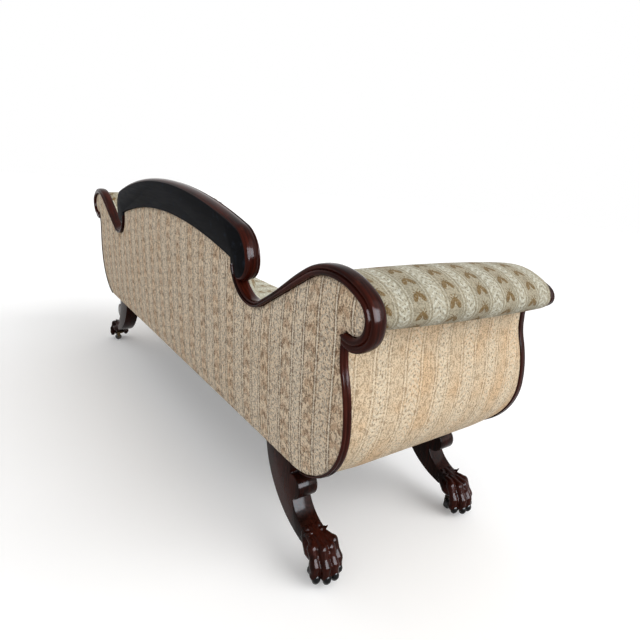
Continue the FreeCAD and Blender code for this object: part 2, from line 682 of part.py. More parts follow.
def leg_outline():
    """Sabre leg from the seat rail to the ankle, with the roll on its outer face."""
    span_x = LEG_ROLL_X - LEG_X
    span_z = ROLL_Z - INSTEP_Z
    span = math.hypot(span_x, span_z)
    reach = (span ** 2 + INSTEP_R ** 2 - ROLL_R ** 2) / (2 * span)
    rise = math.sqrt(INSTEP_R ** 2 - reach ** 2)
    meet_x = LEG_X + (reach * span_x - rise * span_z) / span
    meet_z = INSTEP_Z + (reach * span_z + rise * span_x) / span
    ankle_x = HALF - ANKLE_INSET
    ankle_z = SABRE_Z - math.sqrt(SABRE_R ** 2 - (LEG_X - ankle_x) ** 2)
    instep_x = HALF - INSTEP_INSET
    instep_z = INSTEP_Z - math.sqrt(INSTEP_R ** 2 - (LEG_X - instep_x) ** 2)
    neck_z = ROLL_Z + math.sqrt(ROLL_R ** 2 - (LEG_ROLL_X - NECK_X) ** 2)
    sabre = (LEG_X, SABRE_Z)
    instep = (LEG_X, INSTEP_Z)
    roll = (LEG_ROLL_X, ROLL_Z)
    meet = (meet_x, meet_z)
    return [
        arc_between(*sabre, SABRE_R, (LEG_TOP_X, BODY_BASE_Z), (ankle_x, ankle_z)),
        arc_between(*instep, INSTEP_R, (instep_x, instep_z), meet),
        arc_between(*roll, ROLL_R, meet, (NECK_X, neck_z)),
        ("p", NECK_X, BODY_BASE_Z),
    ]


def paw_outline():
    """Side of the paw without its toes."""
    corners = [
        (PAW_BACK_INSET, PAW_BACK_Z),
        (PAW_HEEL_INSET, FOOT_Z),
        (PAW_BALL_INSET, FOOT_Z),
        (PAW_NOSE_INSET, PAW_NOSE_Z),
        (PAW_KNUCKLE_INSET, PAW_KNUCKLE_Z),
        (PAW_COLLAR_INSET, PAW_COLLAR_Z),
    ]
    return [("p", HALF - inset, z) for inset, z in corners]


def toe(y):
    """One toe: a round bar from the knuckle to the tip, with round ends."""
    root = FreeCAD.Vector(HALF - TOE_ROOT_INSET, y, TOE_ROOT_Z)
    tip = FreeCAD.Vector(HALF - TOE_TIP_INSET, y, TOE_TIP_Z)
    bar = Part.makeCylinder(TOE_R, (tip - root).Length, root, tip - root)
    return bar.fuse([Part.makeSphere(TOE_R, root), Part.makeSphere(TOE_R, tip)])


def make_legs():
    for row, y in LEG_YS.items():
        middle_y = y + LEG_W / 2
        leg = slab(leg_outline(), y, y + LEG_W)
        paw = slab(paw_outline(), middle_y - PAW_W / 2, middle_y + PAW_W / 2)
        first_toe_y = middle_y - TOE_PITCH * (TOE_COUNT - 1) / 2
        toes = [toe(first_toe_y + i * TOE_PITCH) for i in range(TOE_COUNT)]
        leg = leg.fuse([paw] + toes)
        holes = []
        for x in BOLT_XS:
            holes.append(rod(x, BOLT_YS[row], BODY_BASE_Z, BOLT_R + HOLE_GAP, BOLT_REACH, (0, 0, -1)))
        for x, screw_y in screw_places(CASTOR_X, middle_y):
            holes.append(rod(x, screw_y, FOOT_Z, SCREW_R + HOLE_GAP, SCREW_LENGTH))
        save_pair("leg_" + row, leg.cut(holes).removeSplitter())


def make_castor_plate(x, y):
    """Round plate under the foot with the riveted swivel pin."""
    plate_low_z = FOOT_Z - PLATE_T
    head_top_z = plate_low_z - SWIVEL_PLAY - FORK_CROWN_T - SWIVEL_PLAY
    plate = rod(x, y, plate_low_z, PLATE_R, PLATE_T)
    pin = rod(x, y, head_top_z, PINTLE_R, plate_low_z - head_top_z)
    head = rod(x, y, head_top_z - PINTLE_HEAD_T, PINTLE_HEAD_R, PINTLE_HEAD_T)
    holes = []
    for sx, sy in screw_places(x, y):
        holes.append(rod(sx, sy, plate_low_z, SCREW_R + HOLE_GAP, PLATE_T))
        holes.append(rod(sx, sy, plate_low_z, SCREW_HEAD_R + HOLE_GAP, SCREW_HEAD_T))
    return plate.fuse([pin, head]).cut(holes).removeSplitter()


def make_castor_fork(x, y):
    """Crown on the swivel pin, with a cheek down each side of the wheel."""
    crown_low_z = FOOT_Z - PLATE_T - SWIVEL_PLAY - FORK_CROWN_T
    crown_top_z = crown_low_z + FORK_CROWN_T
    wheel_y = y + CASTOR_TRAIL
    inner = WHEEL_W / 2 + SIDE_PLAY
    outer = inner + CHEEK_T
    fork = rod(x, y, crown_low_z, FORK_CROWN_R, FORK_CROWN_T)
    bridge = box(x - outer, x + outer, y, wheel_y + CHEEK_BOSS_R, crown_low_z, crown_top_z)
    cheeks = []
    for low_x in (x - outer, x + inner):
        plate_ys = (wheel_y - CHEEK_BOSS_R, wheel_y + CHEEK_BOSS_R)
        cheeks.append(box(low_x, low_x + CHEEK_T, *plate_ys, WHEEL_R, crown_top_z))
        cheeks.append(rod(low_x, wheel_y, WHEEL_R, CHEEK_BOSS_R, CHEEK_T, (1, 0, 0)))
    bores = [
        rod(x, y, crown_low_z, PINTLE_R + RUN_GAP, FORK_CROWN_T),
        rod(x - outer, wheel_y, WHEEL_R, AXLE_R + RUN_GAP, 2 * outer, (1, 0, 0)),
        rod(x, y, 0, PINTLE_HEAD_R + SIDE_PLAY, crown_low_z),
    ]
    return fork.fuse([bridge] + cheeks).cut(bores).removeSplitter()


def make_castors():
    outer = WHEEL_W / 2 + SIDE_PLAY + CHEEK_T
    screws = []
    for name, x, y in castor_places():
        wheel_y = y + CASTOR_TRAIL
        save("castor_plate_" + name, make_castor_plate(x, y))
        save("castor_fork_" + name, make_castor_fork(x, y))
        axle = rod(x - outer, wheel_y, WHEEL_R, AXLE_R, 2 * outer, (1, 0, 0))
        heads = [
            rod(x - outer - AXLE_HEAD_T, wheel_y, WHEEL_R, AXLE_HEAD_R, AXLE_HEAD_T, (1, 0, 0)),
            rod(x + outer, wheel_y, WHEEL_R, AXLE_HEAD_R, AXLE_HEAD_T, (1, 0, 0)),
        ]
        save("castor_axle_" + name, axle.fuse(heads).removeSplitter())
        tread = rod(x - WHEEL_W / 2, wheel_y, WHEEL_R, WHEEL_R, WHEEL_W, (1, 0, 0))
        tread = tread.makeFillet(WHEEL_ROUND, [e for e in tread.Edges if e.Closed])
        bore = rod(x - WHEEL_W / 2, wheel_y, WHEEL_R, AXLE_R + RUN_GAP, WHEEL_W, (1, 0, 0))
        save("castor_wheel_" + name, tread.cut(bore))
        for sx, sy in screw_places(x, y):
            low_z = FOOT_Z - PLATE_T
            head = rod(sx, sy, low_z, SCREW_HEAD_R, SCREW_HEAD_T)
            shank = rod(sx, sy, low_z, SCREW_R, SCREW_LENGTH)
            screws.append(head.fuse(shank).removeSplitter())
    save("castor_screws", Part.makeCompound(screws))


def make_leg_bolts():
    bolts = []
    for row in LEG_YS:
        for sign in SIDES.values():
            for x in BOLT_XS:
                place = (sign * x, BOLT_YS[row])
                head = rod(*place, BOLT_SEAT_Z, BOLT_HEAD_R, BOLT_HEAD_T)
                length = BOLT_SEAT_Z - BODY_BASE_Z + BOLT_REACH - SIDE_PLAY
                shank = rod(*place, BOLT_SEAT_Z, BOLT_R, length, (0, 0, -1))
                bolts.append(head.fuse(shank).removeSplitter())
    save("leg_bolts", Part.makeCompound(bolts))


os.makedirs("parts", exist_ok=True)
make_back()
make_crest()
make_end_mouldings()
make_arms()
make_arm_facings()
make_seat_frame()
make_seat_upholstery()
make_legs()
make_castors()
make_leg_bolts()
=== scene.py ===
"""Looks of the empire sofa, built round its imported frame.

Metres, with +X along the length, the front towards -Y and +Z up. The back leans: its pieces are modelled
upright behind the plane Y = 0, with depth counted forward from the outer face, and then leaned into place.
Bearings in the XZ plane are in degrees, 0 straight up and 90 towards +X. The sections of mouldings and the
lumps of the paws are in millimetres.
"""
import math

import bmesh
import bpy
from mathutils import Matrix, Vector
from mathutils.kdtree import KDTree


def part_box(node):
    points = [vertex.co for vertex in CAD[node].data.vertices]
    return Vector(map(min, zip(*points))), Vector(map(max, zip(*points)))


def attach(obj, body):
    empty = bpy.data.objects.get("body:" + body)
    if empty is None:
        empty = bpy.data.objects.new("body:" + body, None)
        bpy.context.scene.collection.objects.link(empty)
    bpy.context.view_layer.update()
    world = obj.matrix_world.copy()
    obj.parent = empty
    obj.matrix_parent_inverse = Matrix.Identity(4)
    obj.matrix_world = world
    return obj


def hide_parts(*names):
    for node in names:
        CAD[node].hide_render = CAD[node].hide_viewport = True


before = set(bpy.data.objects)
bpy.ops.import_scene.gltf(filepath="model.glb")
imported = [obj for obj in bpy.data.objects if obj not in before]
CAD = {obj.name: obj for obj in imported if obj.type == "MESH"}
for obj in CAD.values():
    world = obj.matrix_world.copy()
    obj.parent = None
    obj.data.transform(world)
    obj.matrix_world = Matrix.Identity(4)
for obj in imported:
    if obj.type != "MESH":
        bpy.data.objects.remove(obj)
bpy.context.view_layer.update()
scene = bpy.context.scene

# Body
BASE_Z = 0.265
BACK_Y = 0.279286
FRONT_Y = -0.312714
RAKE = math.radians(3.2)
FRAME_FACE = 0.030
PAD_FACE = 0.095
SEAT_BASE_Z = 0.3595
SEAT_TOP_Z = 0.4395
SEAT_HALF_X = 0.779

# Scroll at each end of the back
EYE = (1.005, 0.691)
EYE_R = 0.038
CROWN_R = 0.160
EYE_TURN = 33.0
CURL_END = 209.0
S_SLOPE = 30.0
SLOPE_RUN = 0.216
DIP_R = 0.105
DIP_START = 260.0
SCROLL_T = 0.015

# Swelling side of each end
BELLY = (0.819, 0.445)
BELLY_R = 0.180
FLANK_TURN = 17.0
WAIST_R = 0.180
WAIST_RUN = 0.027
TRIM_START = 13.0
TRIM_GAP = 0.003
PANEL_START = 3.0
PANEL_T = 0.003
PANEL_TOP_Z = 0.672

# Crest
CREST_TOP_Z = 0.864
CREST_LOW_Z = 0.769
CREST_CORNER_H = 0.015
TIP_R = 0.052
TIP_GAP = 0.0186
SHOULDER_R = 0.084
SHOULDER_TURN = 17.0
BEAD_DROP = 0.008

# Padded arm
ROLL_PAD_T = 0.010
ROLL_IN_TURN = 12.0
ROLL_IN_R = 0.055
HOLLOW_R = 0.500
LINING_T = 0.040
FACING_EDGE = -0.005
SIDE_PROUD = 0.003
FACING_SEEN_Y = -0.2967

# Legs
LEG_W = 0.056
LEG_YS = {"front": -0.271714, "rear": 0.231286}
LEG_X = 0.904
SABRE_R = 0.240
SABRE_Z = 0.306
INSTEP_R = 0.104
INSTEP_Z = 0.205
LEG_ROLL = (0.806, 0.189)
LEG_ROLL_R = 0.032
NECK_X = 0.792
ANKLE_X = 0.870
INSTEP_X = 0.884
SOLE_Z = 0.0445
CASTOR_X = 0.906
CASTOR_CLEAR = 0.032
FRONT_ROLL_SHIFT = 0.016

# Fineness of the modelling
SEGMENT = 0.008
TURN_STEP = 6.0
RUN_STEP = 0.02
MERGE = 1e-5
MM = 0.001


def away(centre, radius, bearing):
    """Point at a bearing and a distance from a centre."""
    turn_by = math.radians(bearing)
    return centre[0] + radius * math.sin(turn_by), centre[1] + radius * math.cos(turn_by)


def bearing_of(point, centre):
    return math.degrees(math.atan2(point[0] - centre[0], point[1] - centre[1]))


CROWN = away(EYE, EYE_R - CROWN_R, EYE_TURN)
SLOPE = (math.cos(math.radians(S_SLOPE)), math.sin(math.radians(S_SLOPE)))
DIP_FAR = away(CROWN, CROWN_R + DIP_R, -S_SLOPE)
DIP = (DIP_FAR[0] - SLOPE_RUN * SLOPE[0], DIP_FAR[1] - SLOPE_RUN * SLOPE[1])
CURL = away(EYE, EYE_R + SCROLL_T, CURL_END)
TRIM_TOP_Z = CURL[1] - TRIM_GAP
WAIST_Z = TRIM_TOP_Z - WAIST_RUN
FLANK_R = (WAIST_Z - BELLY[1]) / math.sin(math.radians(FLANK_TURN)) - WAIST_R
FLANK = (BELLY[0] + BELLY_R - FLANK_R, BELLY[1])
WAIST = (FLANK[0] + (FLANK_R + WAIST_R) * math.cos(math.radians(FLANK_TURN)), WAIST_Z)
WAIST_FACE_X = WAIST[0] - WAIST_R
ROLL_SKIN_R = CROWN_R + ROLL_PAD_T
ROLL_IN = away(CROWN, ROLL_SKIN_R - ROLL_IN_R, -ROLL_IN_TURN)
HOLLOW = (ROLL_IN[0] - ROLL_IN_R - HOLLOW_R, ROLL_IN[1])
CORNER = away(DIP, DIP_R, DIP_START)
TIP = (DIP[0] - TIP_GAP - TIP_R, DIP[1])
SHOULDER = (DIP[0] - TIP_GAP - SHOULDER_R, DIP[1])


# Walks: a line of vertices is carried along turns and straight runs and leaves its skin behind
def turn(centre, radius, first, last):
    return ("turn", centre, radius, first, last)


def to(x, z):
    return ("to", (x, z))


def reversed_walk(moves):
    return [turn(c, r, last, first) for _, c, r, first, last in reversed(moves)]


def scroll_walk():
    """Along the dip, up the slope, over the scroll and round its curl."""
    return [
        turn(DIP, DIP_R, DIP_START, 180 - S_SLOPE),
        to(*away(CROWN, CROWN_R, -S_SLOPE)),
        turn(CROWN, CROWN_R, -S_SLOPE, EYE_TURN),
        turn(EYE, EYE_R, EYE_TURN, CURL_END),
    ]


def side_walk(offset=0.0, start=0.0, top_z=TRIM_TOP_Z):
    """From the underside round the belly and in to the waist."""
    return [
        turn(BELLY, BELLY_R + offset, 180 - start, 90),
        turn(FLANK, FLANK_R + offset, 90, 90 - FLANK_TURN),
        turn(WAIST, WAIST_R - offset, 270 - FLANK_TURN, 270),
        to(WAIST_FACE_X + offset, top_z),
    ]


def arch(top_z, end):
    """Turn from the top of an arch on the middle plane to its end."""
    rise = top_z - end[1]
    radius = (end[0] ** 2 + rise ** 2) / (2 * rise)
    centre = (0.0, top_z - radius)
    return turn(centre, radius, 0.0, bearing_of(end, centre))


def crest_walk(grow=0.0):
    """Right half of the crest's top edge: arch, shoulder and round tip, to the tongue in the dip."""
    end = away(SHOULDER, SHOULDER_R + grow, SHOULDER_TURN)
    tip_r = TIP_R + grow
    dip_r = DIP_R - SCROLL_T
    span = TIP_GAP + TIP_R
    tip_turn = math.degrees(math.acos((span ** 2 + tip_r ** 2 - dip_r ** 2) / (2 * span * tip_r)))
    return [
        arch(CREST_TOP_Z + grow, end),
        turn(SHOULDER, SHOULDER_R + grow, SHOULDER_TURN, 90),
        turn(TIP, tip_r, 90, 90 + tip_turn),
    ]


def crest_low(drop):
    """Lower edge of the crest from the middle to its corner."""
    return arch(CREST_LOW_Z - drop, (CORNER[0], CORNER[1] + CREST_CORNER_H - drop))


def hollow_drop(radius, low_z=SEAT_TOP_Z):
    return math.degrees(math.asin((HOLLOW[1] - low_z) / radius))


def hollow_x(offset):
    """X of the arm's hollow face, set outwards, at the top of the seat."""
    return HOLLOW[0] + math.sqrt((HOLLOW_R + offset) ** 2 - (HOLLOW[1] - SEAT_TOP_Z) ** 2)


def start_of(moves):
    _, centre, radius, first, _ = moves[0]
    return away(centre, radius, first)


# Shapes
def new_shape():
    bm = bmesh.new()
    bm.verts.layers.float.new("across")
    bm.verts.layers.float.new("along")
    return bm


def verts_in(geom):
    return [item for item in geom if isinstance(item, bmesh.types.BMVert)]


def edges_in(geom):
    return [item for item in geom if isinstance(item, bmesh.types.BMEdge)]


def all_of(bm):
    return bm.verts[:] + bm.edges[:] + bm.faces[:]


def carried(bm, line, centre, angle, shift=(0, 0, 0)):
    """Carry a line one step round a centre or straight on; gives the new line."""
    made = bmesh.ops.spin(bm, geom=line, axis=(0, 1, 0), cent=(centre[0], 0, centre[1]), angle=angle,
                          dvec=shift, steps=1)
    return made["geom_last"]


def thicken(bm, line, spot, factor):
    """Scale a line's section about a spot of the walk."""
    bmesh.ops.scale(bm, vec=(factor, 1, factor), verts=verts_in(line),
                    space=Matrix.Translation((-spot[0], 0, -spot[1])))


def walk(bm, line, moves, spot, swell=None):
    """Carry a line through the moves; every vertex keeps how far along the walk it lies.

    swell gives the thickness of the line's section, as a factor, at a distance along the walk.
    """
    along = bm.verts.layers.float["along"]
    reach = 0.0
    thick = swell(0.0) if swell else 1.0
    for move in moves:
        centre, angle, shift = (0, 0), 0.0, (0, 0, 0)
        if move[0] == "turn":
            _, centre, radius, first, last = move
            length = abs(math.radians(last - first)) * radius
            count = max(2, math.ceil(length / SEGMENT), math.ceil(abs(last - first) / TURN_STEP))
            angle = math.radians(last - first) / count
            spots = [away(centre, radius, first + (last - first) * (i + 1) / count) for i in range(count)]
        else:
            end = move[1]
            length = math.dist(spot, end)
            count = max(1, math.ceil(length / RUN_STEP))
            shift = ((end[0] - spot[0]) / count, 0, (end[1] - spot[1]) / count)
            spots = [(spot[0] + shift[0] * (i + 1), spot[1] + shift[2] * (i + 1)) for i in range(count)]
        for spot in spots:
            line = carried(bm, line, centre, angle, shift)
            reach += length / count
            for vert in verts_in(line):
                vert[along] = reach
            if swell:
                factor = swell(reach) / thick
                thick *= factor
                thicken(bm, line, spot, factor)
    return line


def add_mirror(bm):
    """Add the mirror image at the left end."""
    bmesh.ops.mirror(bm, geom=all_of(bm), axis="X", merge_dist=MERGE)


def outline_slab(moves, near, far, whole=False, closing=()):
    """Flat slab with a walked outline, between two depths; whole adds the mirror image of the outline."""
    bm = new_shape()
    spot = start_of(moves)
    walk(bm, [bm.verts.new((spot[0], -near, spot[1]))], list(moves) + list(closing), spot)
    if whole:
        add_mirror(bm)
    bmesh.ops.remove_doubles(bm, verts=bm.verts, dist=MERGE)
    bmesh.ops.contextual_create(bm, geom=bm.edges[:])
    grown = bmesh.ops.extrude_face_region(bm, geom=bm.faces[:], use_keep_orig=True)
    bmesh.ops.translate(bm, vec=(0, near - far, 0), verts=verts_in(grown["geom"]))
    bmesh.ops.recalc_face_normals(bm, faces=bm.faces)
    return bm


def sweep(section, moves, face=0.0, swell=None):
    """Moulding walked along the moves, not yet capped; its section has (out, depth) points from a face."""
    bm = new_shape()
    across = bm.verts.layers.float["across"]
    _, centre, radius, first, _ = moves[0]
    inward = 1 if centre != DIP else -1
    ring = []
    for out, depth in section:
        x, z = away(centre, radius + inward * out * MM, first)
        vert = bm.verts.new((x, -(face + depth * MM), z))
        vert[across] = 0.0 if not ring else ring[-1][across] + (vert.co - ring[-1].co).length
        ring.append(vert)
    edges = [bm.edges.new((ring[i - 1], ring[i])) for i in range(len(ring))]
    line = walk(bm, ring + edges, moves, away(centre, radius, first), swell)
    return bm, line


def cap(bm):
    bmesh.ops.holes_fill(bm, edges=[e for e in bm.edges if e.is_boundary], sides=0)
    bmesh.ops.recalc_face_normals(bm, faces=bm.faces)


def lean(bm):
    bmesh.ops.rotate(bm, cent=(0, 0, BASE_Z), matrix=Matrix.Rotation(-RAKE, 3, "X"), verts=bm.verts)
    bmesh.ops.translate(bm, vec=(0, BACK_Y, 0), verts=bm.verts)


def lean_y(z, depth):
    """Y of the raked back at a height and a depth."""
    return BACK_Y + (z - BASE_Z) * math.tan(RAKE) - depth / math.cos(RAKE)


def round_edges(bm, width, segments, angle):
    """Round the arrises that turn by more than an angle."""
    edges = [e for e in bm.edges if e.is_manifold and e.calc_face_angle() > math.radians(angle)]
    bmesh.ops.bevel(bm, geom=edges, offset=width, offset_type="OFFSET", segments=segments, profile=0.5,
                    affect="EDGES", clamp_overlap=True, material=-1)


def ease(value):
    value = min(max(value, 0.0), 1.0)
    return value * value * (3 - 2 * value)


def lay_map(bm, place=None):
    """UV map 'lay' in metres: across and along the cloth's stripes or the wood's grain."""
    across = bm.verts.layers.float["across"]
    along = bm.verts.layers.float["along"]
    if place:
        for vert in bm.verts:
            vert[across], vert[along] = place(vert.co)
    uv = bm.loops.layers.uv.new("lay")
    for face in bm.faces:
        for loop in face.loops:
            loop[uv].uv = (loop.vert[across], loop.vert[along])


def cut_evenly(bm, axes, pitch):
    """Cut a shape across each of the axes, so that its faces can swell."""
    for axis in axes:
        values = [v.co[axis] for v in bm.verts]
        low, high = min(values), max(values)
        count = round((high - low) / pitch)
        normal = Vector((0, 0, 0))
        normal[axis] = 1
        for i in range(1, count):
            bmesh.ops.bisect_plane(bm, geom=all_of(bm), dist=MERGE, plane_no=normal,
                                   plane_co=normal * (low + (high - low) * i / count))


def rim_distances(bm, y):
    """Each vertex of one flat side with its distance from the slab's rim."""
    bm.normal_update()
    side = [v for v in bm.verts if abs(v.co.y - y) < MERGE / 10]
    rim = [v for v in side if any(abs(f.normal.y) < 0.5 for f in v.link_faces)]
    tree = KDTree(len(rim))
    for i, vert in enumerate(rim):
        tree.insert(vert.co, i)
    tree.balance()
    return [(v, tree.find(v.co)[2]) for v in side]


def mirrored(bm):
    twin = bm.copy()
    bmesh.ops.scale(twin, vec=(-1, 1, 1), verts=twin.verts)
    bmesh.ops.reverse_faces(twin, faces=twin.faces)
    return twin


def piece(name, bm, finish, slot, *nodes, smooth=35):
    """Make a finished shape into an object that rides on the sofa and stands for CAD nodes."""
    mesh = bpy.data.meshes.new(name)
    bm.to_mesh(mesh)
    bm.free()
    mesh.materials.append(FINISH[finish])
    mesh.shade_smooth()
    mesh.set_sharp_from_angle(angle=math.radians(smooth))
    obj = bpy.data.objects.new(name, mesh)
    scene.collection.objects.link(obj)
    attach(obj, "sofa")
    if nodes:
        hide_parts(*nodes)
    return obj


def pair(name, bm, finish, slot, node=None, smooth=35):
    """A piece of the right end and its mirror image at the left end."""
    made = []
    for side, shape in (("left", mirrored(bm)), ("right", bm)):
        nodes = [node + "_" + side] if node else []
        made.append(piece(name + "_" + side, shape, finish, slot, *nodes, smooth=smooth))
    return made


def subdivided(obj):
    sub = obj.modifiers.new("smoothing", "SUBSURF")
    sub.levels = 1
    sub.render_levels = 1
    return obj


def walled(obj, name, thickness):
    """Give a sheet its thickness, inwards from its face."""
    wall = obj.modifiers.new(name, "SOLIDIFY")
    wall.thickness = thickness
    wall.offset = -1
    return obj


def remeshed(bm, voxel, smoothing):
    """One carved skin over overlapping lumps."""
    mesh = bpy.data.meshes.new("lumps")
    bm.to_mesh(mesh)
    bm.free()
    obj = bpy.data.objects.new("lumps", mesh)
    scene.collection.objects.link(obj)
    skin = obj.modifiers.new("skin", "REMESH")
    skin.mode = "VOXEL"
    skin.voxel_size = voxel
    soften = obj.modifiers.new("soften", "SMOOTH")
    soften.factor = 0.5
    soften.iterations = smoothing
    bpy.context.view_layer.update()
    made = bpy.data.meshes.new_from_object(obj.evaluated_get(bpy.context.evaluated_depsgraph_get()))
    out = bmesh.new()
    out.from_mesh(made)
    bpy.data.objects.remove(obj)
    bpy.data.meshes.remove(mesh)
    bpy.data.meshes.remove(made)
    return out


STUFFING_FRAMES = 20


def stuff(obj, held, pressure, reach):
    """Swell a pad with cloth under pressure; held vertices stay and none moves past the reach."""
    group = obj.vertex_groups.new(name="held")
    group.add(held, 1.0, "REPLACE")
    cloth = obj.modifiers.new("stuffing", "CLOTH")
    cloth.settings.quality = 6
    cloth.settings.mass = 0.3
    cloth.settings.tension_stiffness = 20
    cloth.settings.compression_stiffness = 20
    cloth.settings.bending_stiffness = 2
    cloth.settings.use_pressure = True
    cloth.settings.uniform_pressure_force = pressure
    cloth.settings.effector_weights.gravity = 0
    cloth.settings.vertex_group_mass = "held"
    for step in range(STUFFING_FRAMES):
        scene.frame_set(step + 1)
    swollen = obj.evaluated_get(bpy.context.evaluated_depsgraph_get()).data
    places = [v.co.copy() for v in swollen.vertices]
    obj.modifiers.remove(cloth)
    obj.vertex_groups.remove(group)
    for vert, place in zip(obj.data.vertices, places):
        move = place - vert.co
        vert.co += move * min(1.0, reach / max(move.length, 1e-9))
    scene.frame_set(1)


# Materials
def colour(red, green, blue):
    """Linear colour from display values of 0 to 255."""
    def linear(value):
        value /= 255
        return value / 12.92 if value <= 0.04045 else ((value + 0.055) / 1.055) ** 2.4
    return (linear(red), linear(green), linear(blue), 1.0)


class Graph:
    """Short hand for wiring a node tree."""

    def __init__(self, tree):
        self.tree = tree

    def put(self, socket, value):
        if isinstance(value, bpy.types.NodeSocket):
            self.tree.links.new(value, socket)
        else:
            socket.default_value = value

    def node(self, kind, inputs=(), **settings):
        made = self.tree.nodes.new(kind)
        for name, value in settings.items():
            setattr(made, name, value)
        for key, value in dict(inputs).items():
            self.put(made.inputs[key], value)
        return made

    def math(self, operation, *values):
        made = self.node("ShaderNodeMath", operation=operation)
        for socket, value in zip(made.inputs, values):
            self.put(socket, value)
        return made.outputs[0]

    def chain(self, operation, first, *others):
        for other in others:
            first = self.math(operation, first, other)
        return first

    def plus(self, *values):
        return self.chain("ADD", *values)

    def times(self, *values):
        return self.chain("MULTIPLY", *values)

    def most(self, *values):
        return self.chain("MAXIMUM", *values)

    def minus(self, value, other):
        return self.math("SUBTRACT", value, other)

    def apart(self, value, other):
        return self.math("ABSOLUTE", self.minus(value, other))

    def ramp(self, value, low, high, start=0.0, end=1.0):
        """Smooth step from one value to another as the input goes from low to high."""
        inputs = {"Value": value, "From Min": low, "From Max": high, "To Min": start, "To Max": end}
        return self.node("ShaderNodeMapRange", inputs, interpolation_type="SMOOTHSTEP").outputs[0]

    def mix(self, factor, low, high):
        return self.node("ShaderNodeMix", {0: factor, 6: low, 7: high}, data_type="RGBA").outputs[2]

    def noise(self, place, scale, detail, roughness, stretch=None):
        """Noise of a scale, on a place that may be stretched first."""
        if stretch:
            place = self.node("ShaderNodeVectorMath", {0: place, 1: stretch}, operation="MULTIPLY").outputs[0]
        inputs = {"Vector": place, "Scale": scale, "Detail": detail, "Roughness": roughness}
        return self.node("ShaderNodeTexNoise", inputs).outputs[0]

    def ridge(self, value, place, width):
        """Mask of a thin line where a value is near a place."""
        return self.ramp(self.apart(value, place), width, width * 0.45)

    def ellipse(self, a, b, centre, radii, lean_by):
        """Mask of a tilted ellipse in two coordinates."""
        cos, sin = math.cos(math.radians(lean_by)), math.sin(math.radians(lean_by))
        da = self.minus(a, centre[0])
        db = self.minus(b, centre[1])
        p = self.plus(self.times(da, cos / radii[0]), self.times(db, sin / radii[0]))
        q = self.minus(self.times(db, cos / radii[1]), self.times(da, sin / radii[1]))
        return self.ramp(self.plus(self.times(p, p), self.times(q, q)), 1.3, 0.7)


def new_group(name, inputs, outputs):
    """Node group with typed sockets; gives its graph, its inputs and its outputs."""
    tree = bpy.data.node_groups.new(name, "ShaderNodeTree")
    kinds = {"value": "NodeSocketFloat", "colour": "NodeSocketColor", "vector": "NodeSocketVector"}
    for way, sockets in (("INPUT", inputs), ("OUTPUT", outputs)):
        for socket, kind in sockets.items():
            tree.interface.new_socket(socket, in_out=way, socket_type=kinds[kind])
    graph = Graph(tree)
    given = graph.node("NodeGroupInput").outputs
    return graph, given, graph.node("NodeGroupOutput").inputs


# Brocade: a broad and a narrow stripe in each period, and a column of bees on either side of them
STRIPE_PERIOD = 0.188
BROAD_HALF = 0.0215
NARROW_HALF = 0.0165
CORD_W = 0.0085
CORD_EDGE = 0.0027
LEAF_RISE = 0.016
LEAF_SLANT = 0.020
BEE_RISE = 0.041
BEE_RAGGED = 0.008
BEE_PARTS = (
    ((0.0088, -0.0046), (0.0062, 0.0108), 34.0),
    ((0.0, 0.0040), (0.0037, 0.0054), 0.0),
    ((0.0052, 0.0122), (0.0011, 0.0046), -40.0),
    ((0.0072, 0.0063), (0.0012, 0.0045), -66.0),
)
CLOTH_TONES = ("Ground", "Fleck", "Stripe", "Bee", "Blotch")
CLOTH_AMOUNTS = ("Fleck Amount", "Bee Amount", "Stripe Amount", "Line Amount", "Blotch Amount", "Nub", "Fine")


def bee_mask(g, broad, turn_in, along, grain):
    """Rows of bees: wing, body, feeler and leg of one half, mirrored about the middle of each column."""
    ragged = g.times(g.minus(grain, 0.5), BEE_RAGGED)
    aside = g.plus(g.apart(broad, STRIPE_PERIOD / 4), ragged)
    stagger = g.times(g.math("GREATER_THAN", turn_in, 0.5), 0.5)
    rise = g.math("FRACT", g.plus(g.math("DIVIDE", along, BEE_RISE), stagger))
    up = g.times(g.minus(rise, 0.5), BEE_RISE)
    bee = g.most(*[g.ellipse(aside, up, *part) for part in BEE_PARTS])
    return g.times(bee, g.ramp(grain, 0.36, 0.52, 0.62, 1.0))


